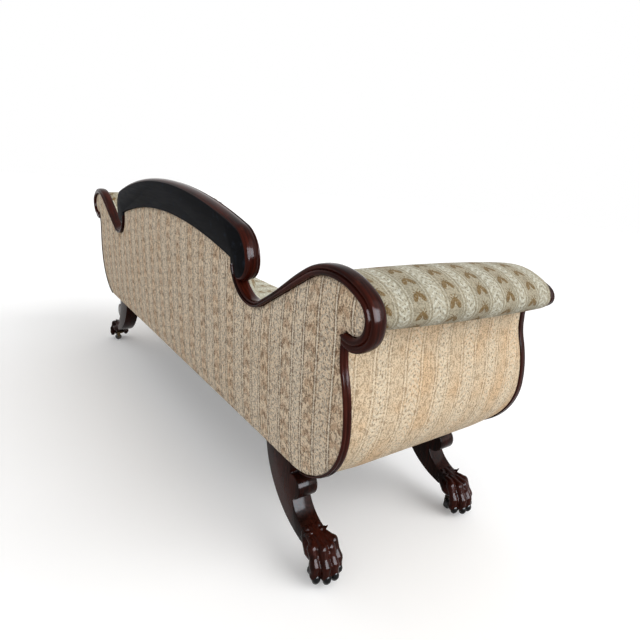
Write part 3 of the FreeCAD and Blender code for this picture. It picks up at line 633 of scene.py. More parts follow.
def make_brocade_group():
    """Striped brocade: broad and narrow leaf stripes with bees in the columns between, on a nubby ground."""
    inputs = {"Lay": "vector", **dict.fromkeys(CLOTH_TONES, "colour")}
    inputs.update(dict.fromkeys(CLOTH_AMOUNTS, "value"))
    g, given, out = new_group("brocade weave", inputs, {"Color": "colour", "Height": "value"})
    lay = given["Lay"]
    across, along, _ = g.node("ShaderNodeSeparateXYZ", {0: lay}).outputs
    turn_in = g.math("FRACT", g.math("DIVIDE", across, STRIPE_PERIOD))
    broad = g.times(g.minus(0.5, g.apart(turn_in, 0.5)), STRIPE_PERIOD)
    narrow = g.minus(STRIPE_PERIOD / 2, broad)
    grain = g.noise(lay, 360.0, 2.0, 0.6, (1.0, 0.7, 1.0))
    curl = g.noise(lay, 75.0, 2.0, 0.6, (1.0, 0.6, 1.0))
    drift = g.noise(lay, 68.0, 2.0, 0.6, (0.6, 1.0, 1.0))
    patch = g.noise(lay, 9.0, 3.0, 0.5)
    speck = g.noise(lay, 215.0, 1.0, 0.5, (1.0, 0.8, 1.0))

    wander = g.node("ShaderNodeCombineXYZ", {"X": g.plus(across, g.times(curl, 0.020)),
                                             "Y": g.plus(along, g.times(drift, 0.034))}).outputs[0]
    streak = g.noise(wander, 155.0, 2.0, 0.6, (1.0, 0.42, 1.0))
    lump = g.plus(g.times(streak, 1.7), g.times(grain, 0.9))
    nub = g.times(g.ramp(lump, 1.31, 1.48), given["Nub"])
    fleck = g.most(nub, g.times(g.ramp(grain, 0.53, 0.60), given["Fine"]))

    turns = 2 * math.pi
    leaf = g.math("SINE", g.plus(g.times(along, turns / LEAF_RISE), g.times(broad, turns / LEAF_SLANT)))
    leaf = g.ramp(g.plus(leaf, g.times(g.plus(grain, streak), 6.5)), 6.2, 7.6)
    band = g.most(g.ramp(broad, 0.0205, 0.0170), g.ramp(narrow, 0.0150, 0.0115))
    stripe = g.times(band, g.most(leaf, 0.25), given["Stripe Amount"])
    spine = g.most(g.ramp(broad, 0.007, 0.003), g.ramp(narrow, 0.006, 0.002))
    vein = g.times(g.most(spine, g.times(band, 0.75)), g.ramp(speck, 0.54, 0.64))
    edges, cords = [], []
    for place, half in ((broad, BROAD_HALF), (narrow, NARROW_HALF)):
        edges += [g.ridge(place, half + shift, CORD_EDGE) for shift in (0.0, CORD_W)]
        cords.append(g.ridge(place, half + CORD_W / 2, CORD_EDGE))
    line = g.times(g.most(*edges), g.ramp(grain, 0.36, 0.52), given["Line Amount"])
    cord = g.times(g.most(*cords), given["Line Amount"])
    fleck = g.times(fleck, g.minus(1.0, g.times(g.most(band, cord), 0.30)))
    dark = g.most(line, g.times(vein, 0.7))
    bee = bee_mask(g, broad, turn_in, along, grain)

    blotch = g.times(g.ramp(patch, 0.42, 0.66), given["Blotch Amount"])
    shade = g.mix(blotch, given["Ground"], given["Blotch"])
    shade = g.mix(g.most(stripe, cord), shade, given["Stripe"])
    shade = g.mix(g.times(bee, given["Bee Amount"]), shade, given["Bee"])
    shade = g.mix(g.times(fleck, given["Fleck Amount"]), shade, given["Fleck"])
    g.put(out["Color"], g.mix(dark, shade, given["Fleck"]))
    height = g.minus(g.times(g.plus(stripe, bee), 0.6), fleck)
    g.put(out["Height"], g.plus(height, g.times(grain, 0.6)))
    return g.tree


def make_grain_group():
    """Polished wood: fine streaks along the grain, a broad figure, pores and rubbed places; on the ebonised
    board the blue-grey rubbed colour, spread wide, is partly real scuffing and partly a painted sheen.
    """
    g, given, out = new_group(
        "wood grain",
        {"Place": "vector", "Dark": "colour", "Light": "colour", "Worn": "colour", "Wear_and_sheen": "value"},
        {"Color": "colour", "Roughness": "value", "Height": "value"})
    place = given["Place"]
    figure = g.noise(place, 1.0, 3.0, 0.5, (14.0, 14.0, 3.0))
    streak = g.noise(place, 1.0, 5.0, 0.65, (160.0, 160.0, 9.0))
    pores = g.noise(place, 1.0, 2.0, 0.6, (900.0, 900.0, 60.0))
    rub_and_sheen = g.ramp(g.noise(place, 38.0, 6.0, 0.7), 0.52, 0.74)
    tone = g.ramp(g.plus(g.times(figure, 0.55), g.times(streak, 0.55)), 0.40, 0.72)
    shade = g.mix(tone, given["Dark"], given["Light"])
    shade = g.mix(g.ramp(pores, 0.60, 0.72, 0.0, 0.5), shade, given["Dark"])
    worn_and_sheen = g.times(rub_and_sheen, given["Wear_and_sheen"])
    g.put(out["Color"], g.mix(worn_and_sheen, shade, given["Worn"]))
    g.put(out["Roughness"], g.plus(g.times(worn_and_sheen, 0.35), g.ramp(streak, 0.3, 0.8, 0.09, 0.22)))
    g.put(out["Height"], g.minus(streak, g.ramp(pores, 0.6, 0.75)))
    return g.tree


BROCADE_GROUP = make_brocade_group()
GRAIN_GROUP = make_grain_group()


def new_material(name, plain):
    """Material with the values that are the same all over; gives it, its graph and its shader's inputs."""
    material = bpy.data.materials.new(name)
    material.use_nodes = True
    shader = material.node_tree.nodes["Principled BSDF"].inputs
    for key, value in plain.items():
        shader[key].default_value = value
    return material, Graph(material.node_tree), shader


def bump(graph, shader, height, strength, distance):
    made = graph.node("ShaderNodeBump", {"Height": height, "Strength": strength, "Distance": distance})
    graph.put(shader["Normal"], made.outputs[0])


def brocade(part, shift, relief, amounts, **faded_and_painted_light_tones):
    """Brocade with the colours that one part of the sofa shows, partly its own fading and partly painted
    light and shade for the light that part gets; shift moves the pattern across.
    """
    plain = {"Roughness": 0.85, "Specular IOR Level": 0.02, "Sheen Weight": 0.08, "Sheen Roughness": 0.4}
    material, graph, shader = new_material("brocade of the " + part, plain)
    lay = graph.node("ShaderNodeUVMap", uv_map="lay").outputs[0]
    lay = graph.node("ShaderNodeVectorMath", {0: lay, 1: (shift, 0, 0)}, operation="ADD").outputs[0]
    inputs = {"Lay": lay, **dict(zip(CLOTH_AMOUNTS, amounts))}
    inputs.update((key, colour(*tone)) for key, tone in faded_and_painted_light_tones.items())
    made = graph.node("ShaderNodeGroup", inputs, node_tree=BROCADE_GROUP).outputs
    graph.put(shader["Base Color"], made["Color"])
    bump(graph, shader, made["Height"], 0.7, relief)
    return material


def wood(name, dark, light, worn_and_sheen, wear_and_sheen, along_run=False, lying=False, polish=0.05, dull=0.0, relief=0.10):
    """Wood with the grain along a moulding's run, or upright, or lying along the sofa."""
    material, graph, shader = new_material(name, {"Specular IOR Level": polish})
    if along_run:
        lay = graph.node("ShaderNodeUVMap", uv_map="lay").outputs[0]
        across, along, _ = graph.node("ShaderNodeSeparateXYZ", {0: lay}).outputs
        place = graph.node("ShaderNodeCombineXYZ", {"X": across, "Z": along}).outputs[0]
    else:
        spot = graph.node("ShaderNodeTexCoord").outputs["Object"]
        turned = (0, math.radians(90) if lying else 0, 0)
        place = graph.node("ShaderNodeMapping", {"Vector": spot, "Rotation": turned}).outputs[0]
    inputs = {"Place": place, "Wear_and_sheen": wear_and_sheen}
    inputs.update(Dark=colour(*dark), Light=colour(*light), Worn=colour(*worn_and_sheen))
    made = graph.node("ShaderNodeGroup", inputs, node_tree=GRAIN_GROUP).outputs
    graph.put(shader["Base Color"], made["Color"])
    graph.put(shader["Roughness"], graph.plus(made["Roughness"], dull))
    bump(graph, shader, made["Height"], relief, 0.0006)
    return material


def metal(name, tone, dull, rough_low, rough_high, metallic=1.0):
    material, graph, shader = new_material(name, {"Metallic": metallic})
    spot = graph.node("ShaderNodeTexCoord").outputs["Object"]
    cloud = graph.noise(spot, 120.0, 5.0, 0.65)
    scratch = graph.noise(spot, 1.0, 2.0, 0.5, (900.0, 120.0, 900.0))
    graph.put(shader["Base Color"], graph.mix(graph.ramp(cloud, 0.42, 0.66), colour(*tone), colour(*dull)))
    graph.put(shader["Roughness"], graph.ramp(cloud, 0.3, 0.7, rough_low, rough_high))
    bump(graph, shader, scratch, 0.15, 0.0004)
    return material


def plain_cloth(name, light, dark, thread):
    """Plain weave: over and under threads in two directions."""
    material, graph, shader = new_material(name, {"Roughness": 0.9, "Specular IOR Level": 0.2})
    spot = graph.node("ShaderNodeTexCoord").outputs["Object"]
    x, y, _ = graph.node("ShaderNodeSeparateXYZ", {0: spot}).outputs
    weave = graph.times(*[graph.math("SINE", graph.times(p, 2 * math.pi / thread)) for p in (x, y)])
    slub = graph.noise(spot, 1.0, 3.0, 0.6, (40.0, 400.0, 40.0))
    tone = graph.plus(graph.times(weave, 0.25), slub)
    graph.put(shader["Base Color"], graph.mix(graph.ramp(tone, 0.25, 0.8), colour(*dark), colour(*light)))
    bump(graph, shader, weave, 0.4, 0.0008)
    return material


DEEP_RED = (20, 8, 7)
WARM_RED = (70, 25, 15)
RUBBED_RED = (96, 46, 30)
FINISH = {
    # Each part has its own copy of one brocade, and the colours differ partly by fading and partly by painted
    # light: the back's copy is painted lighter to offset the shade it stands in.
    "back": brocade("back", -0.007, 0.0046, (0.66, 0.40, 0.70, 0.72, 0.40, 1.0, 0.40),
                    Ground=(255, 234, 206), Fleck=(106, 74, 48), Stripe=(255, 246, 228),
                    Bee=(176, 118, 64), Blotch=(242, 210, 172)),
    "end": brocade("ends", 0.103, 0.0026, (0.66, 0.14, 0.72, 0.34, 0.55, 0.75, 0.75),
                   Ground=(225, 204, 174), Fleck=(108, 80, 48), Stripe=(242, 231, 208),
                   Bee=(216, 176, 128), Blotch=(226, 188, 144)),
    # The arms' copy is painted darker, as painted shade for less light falling on the tops of the rolls.
    "roll": brocade("arms", 0.063, 0.0018, (0.68, 0.92, 0.85, 0.25, 0.5, 0.55, 0.75),
                    Ground=(172, 163, 141), Fleck=(88, 76, 52), Stripe=(224, 224, 210),
                    Bee=(118, 90, 46), Blotch=(160, 156, 138)),
    "seat": brocade("seat", -0.007, 0.0018, (0.62, 0.88, 0.85, 0.25, 0.5, 0.55, 0.75),
                    Ground=(200, 194, 173), Fleck=(102, 90, 64), Stripe=(240, 241, 228),
                    Bee=(130, 102, 58), Blotch=(188, 185, 167)),
    "moulding": wood("mahogany of the mouldings", DEEP_RED, WARM_RED, RUBBED_RED, 0.22, along_run=True),
    "mahogany": wood("mahogany of the legs", (18, 7, 5), (56, 21, 13), (96, 54, 42), 0.14),
    "board": wood("mahogany of the boards", DEEP_RED, WARM_RED, RUBBED_RED, 0.18, lying=True),
    # The ebonised board's blue-grey worn colour, spread over most of it, is partly real scuffing and partly a
    # painted sheen; its own gloss is kept low.
    "slate": wood("ebonised back of the crest with wear and painted sheen", (7, 7, 9), (17, 18, 22), (42, 46, 55), 0.85, lying=True,
                  polish=0.015, dull=0.40, relief=0.3),
    "claw": wood("black polished claws", (6, 6, 7), (16, 15, 15), (40, 40, 42), 0.1, polish=0.12),
    "beech": wood("beech of the frame", (150, 108, 66), (198, 158, 108), (120, 90, 60), 0.3, lying=True,
                  dull=0.3),
    "brass": metal("aged brass", (62, 49, 31), (30, 25, 19), 0.4, 0.65),
    "iron": metal("dark iron", (54, 52, 51), (28, 26, 26), 0.4, 0.65),
    "wheel": metal("blackened castor wheel", (44, 43, 44), (22, 21, 22), 0.3, 0.5, metallic=0.3),
    "jute": plain_cloth("jute webbing", (186, 154, 108), (128, 100, 66), 0.004),
    "hessian": plain_cloth("hessian", (176, 148, 106), (120, 96, 64), 0.003),
    "dust": plain_cloth("black dust cloth", (44, 42, 42), (22, 21, 22), 0.002),
}

# Outside back: a tacked cover that swells a little between its mouldings
COVER_GAP = 0.0003
COVER_T = 0.008
COVER_PITCH = 0.016
COVER_CROWN = 0.0055
COVER_CROWN_RUN = 0.09
TACK_DIP = 0.0025
TACK_RUN = 0.010


def make_outer_back():
    moves = [crest_low(COVER_GAP), to(*CORNER)] + scroll_walk()
    closing = [to(*CURL), to(WAIST_FACE_X, TRIM_TOP_Z), to(WAIST_FACE_X, WAIST_Z)]
    closing += reversed_walk(side_walk()[:3]) + [to(0.0, BASE_Z)]
    bm = outline_slab(moves, 0.0, COVER_T, whole=True, closing=closing)
    cut_evenly(bm, (2, 0), COVER_PITCH)
    for vert, distance in rim_distances(bm, 0.0):
        tacked = TACK_DIP * (ease(distance / TACK_RUN) - 1)
        vert.co.y = COVER_CROWN * ease(distance / COVER_CROWN_RUN) + tacked
    lay_map(bm, lambda co: (co.x, co.z))
    lean(bm)
    obj = piece("outside_back", bm, "back", "brocade", "outer_back_cover", smooth=60)
    subdivided(obj)


# Crest: dark board, polished edge and front bead
EDGE_SECTION = ((-16, 29), (-16, -4.5), (-4, -5.6), (-1.4, -5.2), (1.2, -3.6), (3.6, 0.2), (5.4, 6),
                (6.2, 12), (5.8, 18), (4.2, 24), (1.6, 29))
BEAD_SECTION = ((-16, 36), (-16, 29.2), (-0.4, 29.2), (1.4, 30), (2.4, 31.6), (2, 33.6), (0.4, 35.2),
                (-3, 36))
BOARD_NEAR, BOARD_FAR, BOARD_INSET = -0.006, 0.029, -0.003
FRONT_NEAR, FRONT_FAR, FRONT_INSET = 0.0302, 0.0380, -0.008
BOARD_ARRIS = 0.0012
CORNER_RISE = 0.0005


def make_crest():
    for name, section in (("crest_edge", EDGE_SECTION), ("crest_front_bead", BEAD_SECTION)):
        bm, _ = sweep(section, crest_walk())
        lay_map(bm)
        add_mirror(bm)
        cap(bm)
        lean(bm)
        piece(name, bm, "moulding", "mahogany", smooth=50)
    for name, near, far, grow, drop, finish, slot, node in (
            ("crest_board", BOARD_NEAR, BOARD_FAR, BOARD_INSET, 0.0, "slate", "ebonised_wood", "crest_rail"),
            ("crest_front_board", FRONT_NEAR, FRONT_FAR, FRONT_INSET, BEAD_DROP, "board", "mahogany",
             "crest_bead")):
        _, low, low_r, _, low_end = crest_low(drop)
        _, tip, tip_r, _, tip_end = crest_walk(grow)[-1]
        tongue = bearing_of(away(tip, tip_r, tip_end), DIP) % 360
        closing = [
            turn(DIP, DIP_R - SCROLL_T, tongue, DIP_START),
            to(CORNER[0], CORNER[1] + CORNER_RISE),
            to(*away(low, low_r, low_end)),
            turn(low, low_r, low_end, 0.0),
        ]
        bm = outline_slab(crest_walk(grow), near, far, whole=True, closing=closing)
        round_edges(bm, BOARD_ARRIS, 2, 40)
        lean(bm)
        piece(name, bm, finish, slot, node)


# S-shaped moulding and the reeded trim of each end
SCROLL_SECTION = ((0.4, 30), (0.4, -4), (1, -6.6), (2.8, -8.8), (4.8, -9), (6.4, -7.8), (7.4, -5.4),
                  (7.8, -3), (8.2, -2.2), (9, -3), (10.8, -4.4), (12.8, -4), (14.6, -1.6), (15.4, 3),
                  (15.7, 9), (15.7, 16), (15.2, 22), (14, 27), (11.5, 30))
TRIM_SECTION = ((0.3, 18), (0.3, 0.4), (1.6, -0.6), (3.6, -0.8), (5.8, 0.2), (7, 2.2), (7, 4.4), (5.8, 6.4),
                (7, 8.2), (8.6, 10.5), (9, 13.5), (8, 16.5), (5.5, 18))
SCROLL_SWELL = ((0.0, 1.0), (0.25, 1.0), (0.40, 1.5), (0.52, 1.5), (0.60, 1.45), (0.63, 1.55), (0.665, 1.9),
                (0.69, 2.1), (0.72, 1.9))
CURL_TIP_RUN = 6.0
CURL_TIP_STEP = 2.5
CURL_TIP_SHRINKS = (0.80, 0.62, 0.30)
CURL_TIP_R = 0.048
TRIM_TAPER = 0.14
TRIM_THIN = 0.75


def scroll_swell(reach):
    """Thickness of the S-shaped moulding, growing from the dip to the curl."""
    for (low, thin), (high, thick) in zip(SCROLL_SWELL, SCROLL_SWELL[1:]):
        if reach <= high:
            return thin + (thick - thin) * ease((reach - low) / (high - low))
    return SCROLL_SWELL[-1][1]


def make_end_mouldings():
    curl_stop = CURL_END - CURL_TIP_RUN
    moves = scroll_walk()[:-1] + [turn(EYE, EYE_R, EYE_TURN, curl_stop)]
    scroll, line = sweep(SCROLL_SECTION, moves, swell=scroll_swell)
    for shrink in CURL_TIP_SHRINKS:
        curl_stop += CURL_TIP_STEP
        line = carried(scroll, line, EYE, math.radians(CURL_TIP_STEP))
        thicken(scroll, line, away(EYE, CURL_TIP_R, curl_stop), shrink)

    trim, _ = sweep(TRIM_SECTION, side_walk(0.0, TRIM_START))
    along = trim.verts.layers.float["along"]
    for vert in trim.verts:
        spot = (vert.co.x, vert.co.z)
        reach = math.dist(spot, BELLY) - BELLY_R
        if vert[along] < TRIM_TAPER and reach > 0:
            slim = 1 - (TRIM_THIN * (1 - vert[along] / TRIM_TAPER)) ** 1.5
            vert.co.x, vert.co.z = away(BELLY, BELLY_R + reach * slim, bearing_of(spot, BELLY))

    for name, bm, node in (("back_scroll", scroll, "back_scroll_moulding"), ("end_reeds", trim, "end_trim")):
        lay_map(bm)
        cap(bm)
        lean(bm)
        pair(name, bm, "moulding", "mahogany", node, smooth=50)


def cross_line(bm, spot, count):
    """Line of vertices from front to back, as shares of the depth, ready to be walked."""
    verts = [bm.verts.new((spot[0], i / count, spot[1])) for i in range(count + 1)]
    return verts + [bm.edges.new(ends) for ends in zip(verts, verts[1:])]


def spread_depth(bm, front_y, depth):
    """Turn shares of the depth into places between the front and the raked back."""
    across = bm.verts.layers.float["across"]
    for vert in bm.verts:
        vert.co.y = front_y + vert.co.y * (lean_y(vert.co.z, depth) - front_y)
        vert[across] = vert.co.y


# Arms: the cushion wraps round its rail, which lies between two X and two Z
ARM_ROWS = 48
ARM_RAIL_XS = (0.9297, 1.0103)
ARM_RAIL_ZS = (0.6617, 0.7123)
LINING_GAP = 0.004
HELD_RUN = 0.02
HELD_SHARE = 0.01
ROLL_LIFT = 0.64
LIFT_REACH = 0.058
ROLL_CROWN = 0.0045
CROWN_Y = -0.055
CROWN_HALF = 0.25
CROWN_LEAST = -0.6
CROWN_RUN = 0.05
FRONT_NIP = 0.003
FRONT_NIP_SHARE = 0.03


def lifted(x, z):
    """Height on the roll's curl, with its under side drawn up."""
    return EYE[1] - (EYE[1] - z) * ROLL_LIFT if math.dist((x, z), EYE) < LIFT_REACH and z < EYE[1] else z


def make_arm_pads():
    bm = new_shape()
    skin = [
        turn(EYE, EYE_R + ROLL_PAD_T, CURL_END, EYE_TURN),
        turn(CROWN, ROLL_SKIN_R, EYE_TURN, -ROLL_IN_TURN),
        turn(ROLL_IN, ROLL_IN_R, -ROLL_IN_TURN, -90),
        turn(HOLLOW, HOLLOW_R, 90, 90 + hollow_drop(HOLLOW_R)),
    ]
    start = start_of(skin)
    skin_length = sum(abs(math.radians(last - first)) * radius for _, _, radius, first, last in skin)
    lining_r = HOLLOW_R + LINING_T
    rail_in, rail_out = ARM_RAIL_XS
    rail_low, rail_top = ARM_RAIL_ZS
    lining = [
        to(hollow_x(0.0), SEAT_BASE_Z),
        to(hollow_x(LINING_T), SEAT_BASE_Z),
        to(hollow_x(LINING_T), SEAT_TOP_Z),
        turn(HOLLOW, lining_r, 90 + hollow_drop(lining_r), 90 + hollow_drop(lining_r, rail_low)),
        to(rail_in, rail_low),
        to(rail_in, rail_top),
        to(rail_out, rail_top),
        to(rail_out, rail_low),
        to(start[0], start[1] + LINING_GAP),
    ]
    line = cross_line(bm, start, ARM_ROWS)
    first = edges_in(line)
    last = edges_in(walk(bm, line, skin + lining, start))
    bmesh.ops.bridge_loops(bm, edges=first + last)
    cap(bm)
    along = bm.verts.layers.float["along"]
    held = []
    bm.verts.index_update()
    for vert in bm.verts:
        on_skin = HELD_RUN < vert[along] < skin_length - HELD_RUN
        if not (on_skin and HELD_SHARE < vert.co.y < 1 - HELD_SHARE):
            held.append(vert.index)
    bm.normal_update()
    for vert in bm.verts:
        if vert[along] < skin_length:
            y = FACING_SEEN_Y + vert.co.y * (BACK_Y - FACING_SEEN_Y)
            crown = max(1 - ((y - CROWN_Y) / CROWN_HALF) ** 2, CROWN_LEAST)
            rounding = ease(min(vert[along], skin_length - vert[along]) / CROWN_RUN)
            swell = ROLL_CROWN * crown - FRONT_NIP * ease(1 - vert.co.y / FRONT_NIP_SHARE)
            vert.co += Vector((vert.normal.x, 0, vert.normal.z)) * rounding * swell
        vert.co.z = lifted(vert.co.x, vert.co.z)
    spread_depth(bm, FACING_SEEN_Y, FRAME_FACE)
    lay_map(bm)
    right = piece("arm_cushion_right", bm, "roll", "brocade", "arm_pad_right", smooth=60)
    stuff(right, held, 3.0, 0.006)
    twin = bmesh.new()
    twin.from_mesh(right.data)
    left_shape = mirrored(twin)
    twin.free()
    left = piece("arm_cushion_left", left_shape, "roll", "brocade", "arm_pad_left", smooth=60)
    for obj in (left, right):
        subdivided(obj)


# Bow of the arm fronts, most at the outer side of the belly
FRONT_BOW = 0.026
FRONT_CROWN = 0.82
BOW_LOW_Z = 0.08
BOW_HIGH_Z = 0.66
BOW_IN_X = 0.82
BOW_RUN = 0.12


def front_bow(x, z):
    """How far the arm front stands forward at a place."""
    share = (z - BOW_LOW_Z) / (BOW_HIGH_Z - BOW_LOW_Z)
    return FRONT_BOW * math.sin(math.pi * share) * ease((x - BOW_IN_X) / BOW_RUN) if 0 < share < 1 else 0.0


def shape_front(bm):
    """Draw in the scroll above and below its eye and bow the arm front forward."""
    for vert in bm.verts:
        above = max(vert.co.z - EYE[1], 0.0)
        vert.co.z = lifted(vert.co.x, vert.co.z) - above * (1 - FRONT_CROWN)
        vert.co.y -= front_bow(vert.co.x, vert.co.z)


# Outside arm panels: tacked cloth over wadding, creased under the roll
PANEL_ROWS = 40
PANEL_DEPTH = 0.55
PANEL_BACK = 0.016
PANEL_FRONT_Y = FACING_SEEN_Y - 0.006
PANEL_BOW_RUN = 0.30
PANEL_CROWN = 0.0045
PANEL_CROWN_RUN = 0.10
PANEL_FOOT_RUN = 0.05
PANEL_TACK_DIP = 0.0015
CREASE_DEPTH = 0.005
CREASE_RUN = 0.012
STRIPE_LEAN = 0.12


def make_outside_panels():
    bm = new_shape()
    moves = side_walk(PANEL_T, PANEL_START) + [to(WAIST_FACE_X + PANEL_T, PANEL_TOP_Z)]
    start = start_of(moves)
    walk(bm, cross_line(bm, start, PANEL_ROWS), moves, start)
    bmesh.ops.recalc_face_normals(bm, faces=bm.faces)
    bm.normal_update()
    underside = bm.faces[0].normal
    if underside.x < underside.z:
        bmesh.ops.reverse_faces(bm, faces=bm.faces)
        bm.normal_update()
    across = bm.verts.layers.float["across"]
    along = bm.verts.layers.float["along"]
    length = max(v[along] for v in bm.verts)
    for vert in bm.verts:
        below_top = length - vert[along]
        edge = min(min(vert.co.y, 1 - vert.co.y) * PANEL_DEPTH, vert[along] + PANEL_FOOT_RUN, below_top)
        swell = PANEL_CROWN * ease(edge / PANEL_CROWN_RUN) - PANEL_TACK_DIP * (1 - ease(edge / CREASE_RUN))
        swell -= CREASE_DEPTH * (1 - ease(below_top / CREASE_RUN))
        vert.co += Vector((vert.normal.x, 0, vert.normal.z)) * swell
    spread_depth(bm, PANEL_FRONT_Y, PANEL_BACK)
    for vert in bm.verts:
        vert.co.y -= front_bow(vert.co.x, vert.co.z) * ease(1 - (vert.co.y - PANEL_FRONT_Y) / PANEL_BOW_RUN)
        vert[across] = vert.co.y - STRIPE_LEAN * (length - vert[along])
    lay_map(bm)
    for obj in pair("outside_arm", bm, "end", "brocade", "outside_arm_panel", smooth=60):
        subdivided(walled(obj, "cloth and wadding", PANEL_T))


FACING_BEAD = ((-14, -1), (-14, 1.2), (-12, 3.8), (-8.5, 5.2), (-5, 4), (-3.5, 2.2), (-2.2, 3), (0, 1.2),
               (0.6, -1))
FACING_ARRIS = 0.002


def make_arm_facings():
    edge_r = EYE_R + ROLL_PAD_T + FACING_EDGE
    trim_t = PANEL_T + SIDE_PROUD
    flat_start = math.degrees(math.acos(BELLY_R / (BELLY_R + trim_t)))
    curl = 180 + math.degrees(math.asin((EYE[0] - WAIST_FACE_X - trim_t) / edge_r))
    radius = HOLLOW_R - FACING_EDGE
    upper = [
        turn(EYE, edge_r, curl, EYE_TURN),
        turn(CROWN, ROLL_SKIN_R + FACING_EDGE, EYE_TURN, -ROLL_IN_TURN),
        turn(ROLL_IN, ROLL_IN_R + FACING_EDGE, -ROLL_IN_TURN, -90),
        turn(HOLLOW, radius, 90, 90 + hollow_drop(radius)),
    ]
    lower = side_walk(trim_t, flat_start, start_of(upper)[1])
    foot_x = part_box("front_show_rail")[1].x
    closing = [to(foot_x, SEAT_BASE_Z), to(foot_x, BASE_Z), to(*start_of(lower))]
    bm = outline_slab(lower + upper, -FACING_SEEN_Y, -FRONT_Y, closing=closing)
    round_edges(bm, FACING_ARRIS, 2, 60)
    shape_front(bm)
    pair("arm_front", bm, "mahogany", "mahogany", "arm_facing")
    for name, moves in (("arm_front_scroll", upper), ("arm_front_side", lower)):
        bm, _ = sweep(FACING_BEAD, moves, face=-FRONT_Y)
        lay_map(bm)
        cap(bm)
        shape_front(bm)
        pair(name, bm, "moulding", "mahogany", smooth=50)


PETALS = 8
PETAL_OUT = 0.0155
PETAL_SIZE = (0.0095, 0.0062, 0.0024)
BUTTON_SIZE = (0.0085, 0.0085, 0.0035)
BOSS_RADII = (0.027, 0.0255)
BOSS_T = 0.003
BUTTON_RISE = 0.0025


def make_rosettes():
    bm = bmesh.new()
    for sign in (1, -1):
        hub = Matrix.Translation((sign * EYE[0], FRONT_Y, EYE[1])) @ Matrix.Rotation(math.pi / 2, 4, "X")
        bmesh.ops.create_cone(bm, cap_ends=True, segments=48, radius1=BOSS_RADII[0], radius2=BOSS_RADII[1],
                              depth=BOSS_T, matrix=hub @ Matrix.Translation((0, 0, BOSS_T / 2)))
        for i in range(PETALS):
            petal = hub @ Matrix.Rotation(2 * math.pi * i / PETALS, 4, "Z")
            petal = petal @ Matrix.Translation((PETAL_OUT, 0, BOSS_T)) @ Matrix.Diagonal((*PETAL_SIZE, 1))
            bmesh.ops.create_uvsphere(bm, u_segments=16, v_segments=10, radius=1.0, matrix=petal)
        button = hub @ Matrix.Translation((0, 0, BUTTON_RISE)) @ Matrix.Diagonal((*BUTTON_SIZE, 1))
        bmesh.ops.create_uvsphere(bm, u_segments=24, v_segments=12, radius=1.0, matrix=button)
    bmesh.ops.recalc_face_normals(bm, faces=bm.faces)
    piece("arm_front_rosettes", bm, "mahogany", "mahogany", "arm_rosettes")


# Seat and inside back
SEAT_PITCH = 0.018
SEAT_INSET = 0.006
SEAT_SINK = 0.012
SEAT_HELD = 0.012
SEAT_CROWN = 0.016
SEAT_CROWN_BASE = 0.45
SEAT_SIDE_RUN = 0.10
SEAT_FRONT_RUN = 0.16
FRONT_ROUND = 0.045
SEAT_FRONT_FALL = 0.018
SEAT_FRONT_TUCK = 0.010


def make_seat():
    bm = new_shape()
    front_y = FRONT_Y + SEAT_INSET
    back_y = BACK_Y - PAD_FACE
    size = Vector((2 * SEAT_HALF_X, back_y - front_y, SEAT_TOP_Z - SEAT_BASE_Z - SEAT_SINK))
    middle = Vector((0, (back_y + front_y) / 2, SEAT_BASE_Z + size.z / 2))
    bmesh.ops.create_cube(bm, size=1.0, matrix=Matrix.Translation(middle) @ Matrix.Diagonal((*size, 1)))
    cut_evenly(bm, (0, 1, 2), SEAT_PITCH)
    top_z = SEAT_BASE_Z + size.z
    held = []
    bm.verts.index_update()
    for vert in bm.verts:
        if vert.co.z < SEAT_BASE_Z + SEAT_HELD:
            held.append(vert.index)
        lift = (vert.co.z - SEAT_BASE_Z) / size.z
        in_x = ease((SEAT_HALF_X - abs(vert.co.x)) / SEAT_SIDE_RUN)
        in_front = ease((vert.co.y - front_y) / SEAT_FRONT_RUN + 0.15)
        in_back = ease((back_y - vert.co.y) / SEAT_SIDE_RUN + 0.4)
        vert.co.z += lift * SEAT_CROWN * (in_x * in_front * in_back - SEAT_CROWN_BASE)
        near = max(0.0, 1 - (vert.co.y - front_y) / FRONT_ROUND)
        vert.co.z -= lift * SEAT_FRONT_FALL * near ** 2
        vert.co.y += lift ** 3 * SEAT_FRONT_TUCK * near
    lay_map(bm, lambda co: (co.x, co.y + co.z - top_z))
    obj = piece("seat_cushion", bm, "seat", "brocade", "seat_pad", smooth=180)
    stuff(obj, held, 2.5, 0.012)
    subdivided(obj)


PAD_EDGE = -0.001
PAD_GAP = 0.004
PAD_TUCK = 0.032
PAD_PITCH = 0.020
PAD_FALL = 0.042
PAD_FALL_RUN = 0.055
PAD_CROWN = 0.006
PAD_CROWN_RUN = 0.16
PAD_SINK = 0.010
PAD_HELD = 0.012


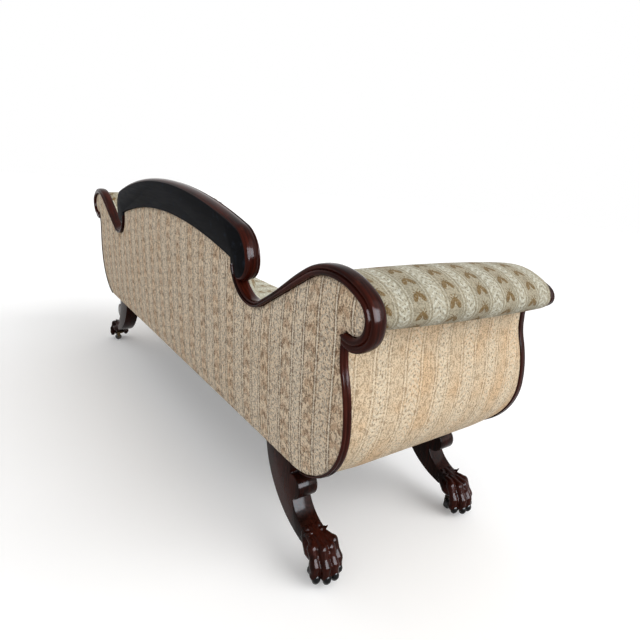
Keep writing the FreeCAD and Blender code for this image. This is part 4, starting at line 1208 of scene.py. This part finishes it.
def make_inside_back():
    end_x = ROLL_IN[0] - ROLL_IN_R - PAD_GAP
    hollow_r = HOLLOW_R - PAD_GAP
    dip_r = DIP_R - PAD_EDGE
    foot_x, foot_z = away(DIP, dip_r, 180 - S_SLOPE)
    low_z = SEAT_TOP_Z - PAD_TUCK
    moves = [
        crest_low(BEAD_DROP + COVER_GAP),
        to(*away(DIP, dip_r, DIP_START)),
        turn(DIP, dip_r, DIP_START, 180 - S_SLOPE),
        to(end_x, foot_z + (end_x - foot_x) * SLOPE[1] / SLOPE[0]),
        to(end_x, HOLLOW[1]),
        turn(HOLLOW, hollow_r, 90, 90 + hollow_drop(hollow_r)),
        to(hollow_x(-PAD_GAP), low_z),
        to(0.0, low_z),
    ]
    bm = outline_slab(moves, FRAME_FACE, PAD_FACE, whole=True)
    cut_evenly(bm, (2, 0), PAD_PITCH)
    bm.verts.index_update()
    free = {}
    for vert, distance in rim_distances(bm, -PAD_FACE):
        free[vert.index] = distance
        fall = PAD_FALL * (1 - ease(distance / PAD_FALL_RUN))
        vert.co.y += fall - PAD_CROWN * ease(distance / PAD_CROWN_RUN) + PAD_SINK
    held = [v.index for v in bm.verts if free.get(v.index, 0.0) < PAD_HELD]
    lay_map(bm, lambda co: (co.x, co.z))
    lean(bm)
    obj = piece("inside_back_cushion", bm, "seat", "brocade", "inside_back_pad", smooth=180)
    stuff(obj, held, 2.0, 0.012)
    subdivided(obj)


DUST_SAG = 0.006
DUST_T = 0.0012


def make_dust_cover():
    low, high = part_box("dust_cover")
    bm = new_shape()
    middle = (low + high) / 2
    half = (high - low) / 2
    place = Matrix.Translation((0, middle.y, high.z)) @ Matrix.Diagonal((half.x, half.y, 1, 1))
    bmesh.ops.create_grid(bm, x_segments=60, y_segments=24, size=1.0, matrix=place)
    for vert in bm.verts:
        share = (1 - (vert.co.x / half.x) ** 2) * (1 - ((vert.co.y - middle.y) / half.y) ** 2)
        vert.co.z -= DUST_SAG * share
    obj = piece("dust_cloth", bm, "dust", "dust_cloth", "dust_cover", smooth=180)
    walled(obj, "cloth", DUST_T)


# Legs: sabre shape with a roll, and a carved paw with a collar and claws
def leg_walk(roll_shift):
    """Outline of a leg; the shift moves the roll outwards."""
    roll = (LEG_ROLL[0] + roll_shift, LEG_ROLL[1])
    instep = (LEG_X, INSTEP_Z)
    sabre = (LEG_X, SABRE_Z)
    span = math.dist(roll, instep)
    reach = (span ** 2 + INSTEP_R ** 2 - LEG_ROLL_R ** 2) / (2 * span)
    rise = math.sqrt(INSTEP_R ** 2 - reach ** 2)
    run_x = (roll[0] - instep[0]) / span
    run_z = (roll[1] - instep[1]) / span
    meet = (instep[0] + reach * run_x - rise * run_z, instep[1] + reach * run_z + rise * run_x)
    top = (LEG_X - math.sqrt(SABRE_R ** 2 - (SABRE_Z - BASE_Z) ** 2), BASE_Z)
    ankle = (ANKLE_X, SABRE_Z - math.sqrt(SABRE_R ** 2 - (LEG_X - ANKLE_X) ** 2))
    foot = (INSTEP_X, INSTEP_Z - math.sqrt(INSTEP_R ** 2 - (LEG_X - INSTEP_X) ** 2))
    neck = (NECK_X, roll[1] + math.sqrt(LEG_ROLL_R ** 2 - (roll[0] - NECK_X) ** 2))
    return [
        turn(sabre, SABRE_R, bearing_of(top, sabre), bearing_of(ankle, sabre)),
        to(*foot),
        turn(instep, INSTEP_R, bearing_of(foot, instep), bearing_of(meet, instep)),
        turn(roll, LEG_ROLL_R, bearing_of(meet, roll) % 360, bearing_of(neck, roll)),
        to(NECK_X, BASE_Z),
        to(*top),
    ]


def link(bm, *points):
    """Chain of round lumps of changing thickness; each point is x, y, z and radius."""
    chain = [(Vector([value * MM for value in point[:3]]), point[3] * MM) for point in points]
    for spot, radius in chain:
        bmesh.ops.create_icosphere(bm, subdivisions=2, radius=radius, matrix=Matrix.Translation(spot))
    for (start, start_r), (end, end_r) in zip(chain, chain[1:]):
        turned = (end - start).to_track_quat("Z", "Y").to_matrix().to_4x4()
        place = Matrix.Translation((start + end) / 2) @ turned
        bmesh.ops.create_cone(bm, cap_ends=True, segments=16, radius1=start_r, radius2=end_r,
                              depth=(end - start).length, matrix=place)


TOES = ((-33, -14), (-11.8, 0), (11.8, 0), (33, -14))
PAW_VOXEL = 0.0016
CLAW_VOXEL = 0.0010
LEG_ARRIS = 0.0022


def make_paw():
    """Carved paw and claws about the middle of a right leg."""
    paw = bmesh.new()
    claws = bmesh.new()
    link(paw, (868, 0, 98, 14), (898, 0, 80, 24), (920, 0, 70, 26))
    for y in (-17, 17):
        link(paw, (866, y, 100, 12), (878, y, 80, 16), (898, y, 68, 22), (920, y * 1.1, 66, 20))
    for y, reach in TOES:
        link(paw, (880, y * 0.60, 96, 7.5), (906, y * 0.76, 96, 9), (928 + reach, y * 0.90, 89, 14),
             (940 + reach, y * 0.96, 70, 10.8), (949 + reach, y, 54, 13.8), (951 + reach, y, 42, 12.2),
             (951 + reach, y, 32, 13.4))
        link(claws, (955.5 + reach, y, 33, 10), (957.5 + reach, y, 27, 10.6), (956 + reach, y, 22, 9.6))
    for y in (-26.5, 26.5):
        link(paw, (882, y, 103.5, 4), (889.5, y, 108.5, 2.8), (893.5, y, 117.5, 1.4))
        link(paw, (882, y, 103.5, 4), (866, y, 86, 3.8), (858, y, 73, 3))
    link(paw, (882, -26.5, 103.5, 4), (884, 0, 101, 4.2), (882, 26.5, 103.5, 4))
    paw = remeshed(paw, PAW_VOXEL, 3)
    for vert in paw.verts:
        if math.hypot(vert.co.x - CASTOR_X, vert.co.y) < CASTOR_CLEAR:
            vert.co.z = max(vert.co.z, SOLE_Z)
    return paw, remeshed(claws, CLAW_VOXEL, 2)


def joined(*shapes):
    whole = bmesh.new()
    for shape in shapes:
        mesh = bpy.data.meshes.new("part")
        shape.to_mesh(mesh)
        whole.from_mesh(mesh)
        bpy.data.meshes.remove(mesh)
    return whole


def make_legs():
    paw, claws = make_paw()
    for row, y in LEG_YS.items():
        body = outline_slab(leg_walk(FRONT_ROLL_SHIFT if row == "front" else 0.0), -LEG_W / 2, LEG_W / 2)
        round_edges(body, LEG_ARRIS, 3, 30)
        for name, shape, finish, slot, node in (
                ("leg_carved_" + row, joined(body, paw), "mahogany", "mahogany", "leg_" + row),
                ("paw_claws_" + row, joined(claws), "claw", "ebonised_wood", None)):
            bmesh.ops.translate(shape, vec=(0, y, 0), verts=shape.verts)
            pair(name, shape, finish, slot, node, smooth=45)


# Frame: the CAD pieces that are shown as they are, by the start of their names
FRAME_FINISHES = {
    "seat_rail": "beech", "seat_bearers": "beech", "corner_blocks": "beech", "back_": "beech",
    "arm_top_rail": "beech", "arm_tacking": "beech", "seat_webbing": "jute", "seat_hessian": "hessian",
    "castor_plate": "brass", "castor_fork": "brass", "castor_axle": "iron", "castor_wheel": "wheel",
    "castor_screws": "iron", "leg_bolts": "iron", "front_show_rail": "board",
}
ARRIS_WIDTHS = {"beech": 0.0012, "board": 0.0012, "brass": 0.0003, "iron": 0.0003, "wheel": 0.0003}


def dress_frame():
    """Finishes and softened arrises."""
    for name, obj in CAD.items():
        finish = next((f for start, f in FRAME_FINISHES.items() if name.startswith(start)), None)
        if finish is None or obj.hide_render:
            continue
        obj.data.materials.clear()
        obj.data.materials.append(FINISH[finish])
        weld = obj.modifiers.new("joined faces", "WELD")
        weld.merge_threshold = MERGE
        if finish in ARRIS_WIDTHS:
            edge = obj.modifiers.new("softened arrises", "BEVEL")
            edge.width = ARRIS_WIDTHS[finish]
            edge.segments = 2
            edge.limit_method = "ANGLE"
            edge.angle_limit = math.radians(50)
            edge.use_clamp_overlap = True


# Floor, light and camera
WHITE = (1.0, 1.0, 1.0)
FLOOR_SIZE = 20.0
FLOOR_GLOW = 0.06
FLOOR_BOUNCE = (0.45, 0.44, 0.42, 1)
WORLD_LIGHT = 0.77
SKY_POWER = 2.2
SKY_ANGLE = math.radians(60)
SKY_PLACE = (-3.0, -1.9, 1.75)
WINDOW_POWER = 1000.0
WINDOW_SIZE = (3.4, 1.9)
WINDOW_PLACE = (-3.4, 0.15, 1.5)
WINDOW_AIM = (-1.0, 0.1, 0.5)
WINDOW_TINT = (0.84, 0.92, 1.0)
CAMERA_PLACE = (-1.6236, 0.8506, 0.9231)
CAMERA_TURN = (73.370, -5.501, -125.835)
CAMERA_LENS = 26.802
CAMERA_SENSOR = 36.0


def seen_rays(graph):
    """1 for rays from the camera, from mirrors and through glass, and 0 for light on the sofa."""
    path = graph.node("ShaderNodeLightPath").outputs
    return graph.most(path["Is Camera Ray"], path["Is Glossy Ray"], path["Is Transmission Ray"])


def hang(lamp, place, aim, tint):
    lamp.color = tint
    holder = bpy.data.objects.new(lamp.name, lamp)
    scene.collection.objects.link(holder)
    holder.location = place
    holder.rotation_euler = (Vector(aim) - Vector(place)).to_track_quat("-Z", "Y").to_euler()
    return holder


def make_stage():
    floor = bmesh.new()
    bmesh.ops.create_grid(floor, x_segments=1, y_segments=1, size=FLOOR_SIZE)
    mesh = bpy.data.meshes.new("floor")
    floor.to_mesh(mesh)
    floor.free()
    obj = bpy.data.objects.new("floor", mesh)
    scene.collection.objects.link(obj)
    plain = {"Roughness": 0.9, "Specular IOR Level": 0.0, "Emission Color": (*WHITE, 1)}
    material, graph, shader = new_material("pale floor", plain)
    seen = seen_rays(graph)
    graph.put(shader["Base Color"], graph.mix(seen, FLOOR_BOUNCE, (*WHITE, 1)))
    graph.put(shader["Emission Strength"], graph.times(seen, FLOOR_GLOW))
    mesh.materials.append(material)

    world = bpy.data.worlds.new("studio")
    scene.world = world
    world.use_nodes = True
    graph = Graph(world.node_tree)
    back = world.node_tree.nodes["Background"].inputs
    graph.put(back["Strength"], graph.plus(WORLD_LIGHT, graph.times(seen_rays(graph), 1.0 - WORLD_LIGHT)))
    back["Color"].default_value = (*WHITE, 1)

    window = bpy.data.lights.new("window", "AREA")
    window.shape = "RECTANGLE"
    window.size, window.size_y = WINDOW_SIZE
    window.energy = WINDOW_POWER
    holder = hang(window, WINDOW_PLACE, WINDOW_AIM, WINDOW_TINT)
    holder.visible_diffuse = False
    holder.visible_camera = False
    sky = bpy.data.lights.new("sky", "SUN")
    sky.energy = SKY_POWER
    sky.angle = SKY_ANGLE
    hang(sky, SKY_PLACE, (0, 0, 0), WHITE)


def make_camera():
    lens = bpy.data.cameras.new("camera")
    lens.lens = CAMERA_LENS
    lens.sensor_width = CAMERA_SENSOR
    holder = bpy.data.objects.new("camera", lens)
    holder.location = CAMERA_PLACE
    holder.rotation_euler = [math.radians(a) for a in CAMERA_TURN]
    scene.collection.objects.link(holder)
    scene.camera = holder


scene.view_settings.view_transform = "Standard"
make_outer_back()
make_crest()
make_end_mouldings()
make_arm_pads()
make_outside_panels()
make_arm_facings()
make_rosettes()
make_seat()
make_inside_back()
make_dust_cover()
make_legs()
dress_frame()
make_stage()
make_camera()
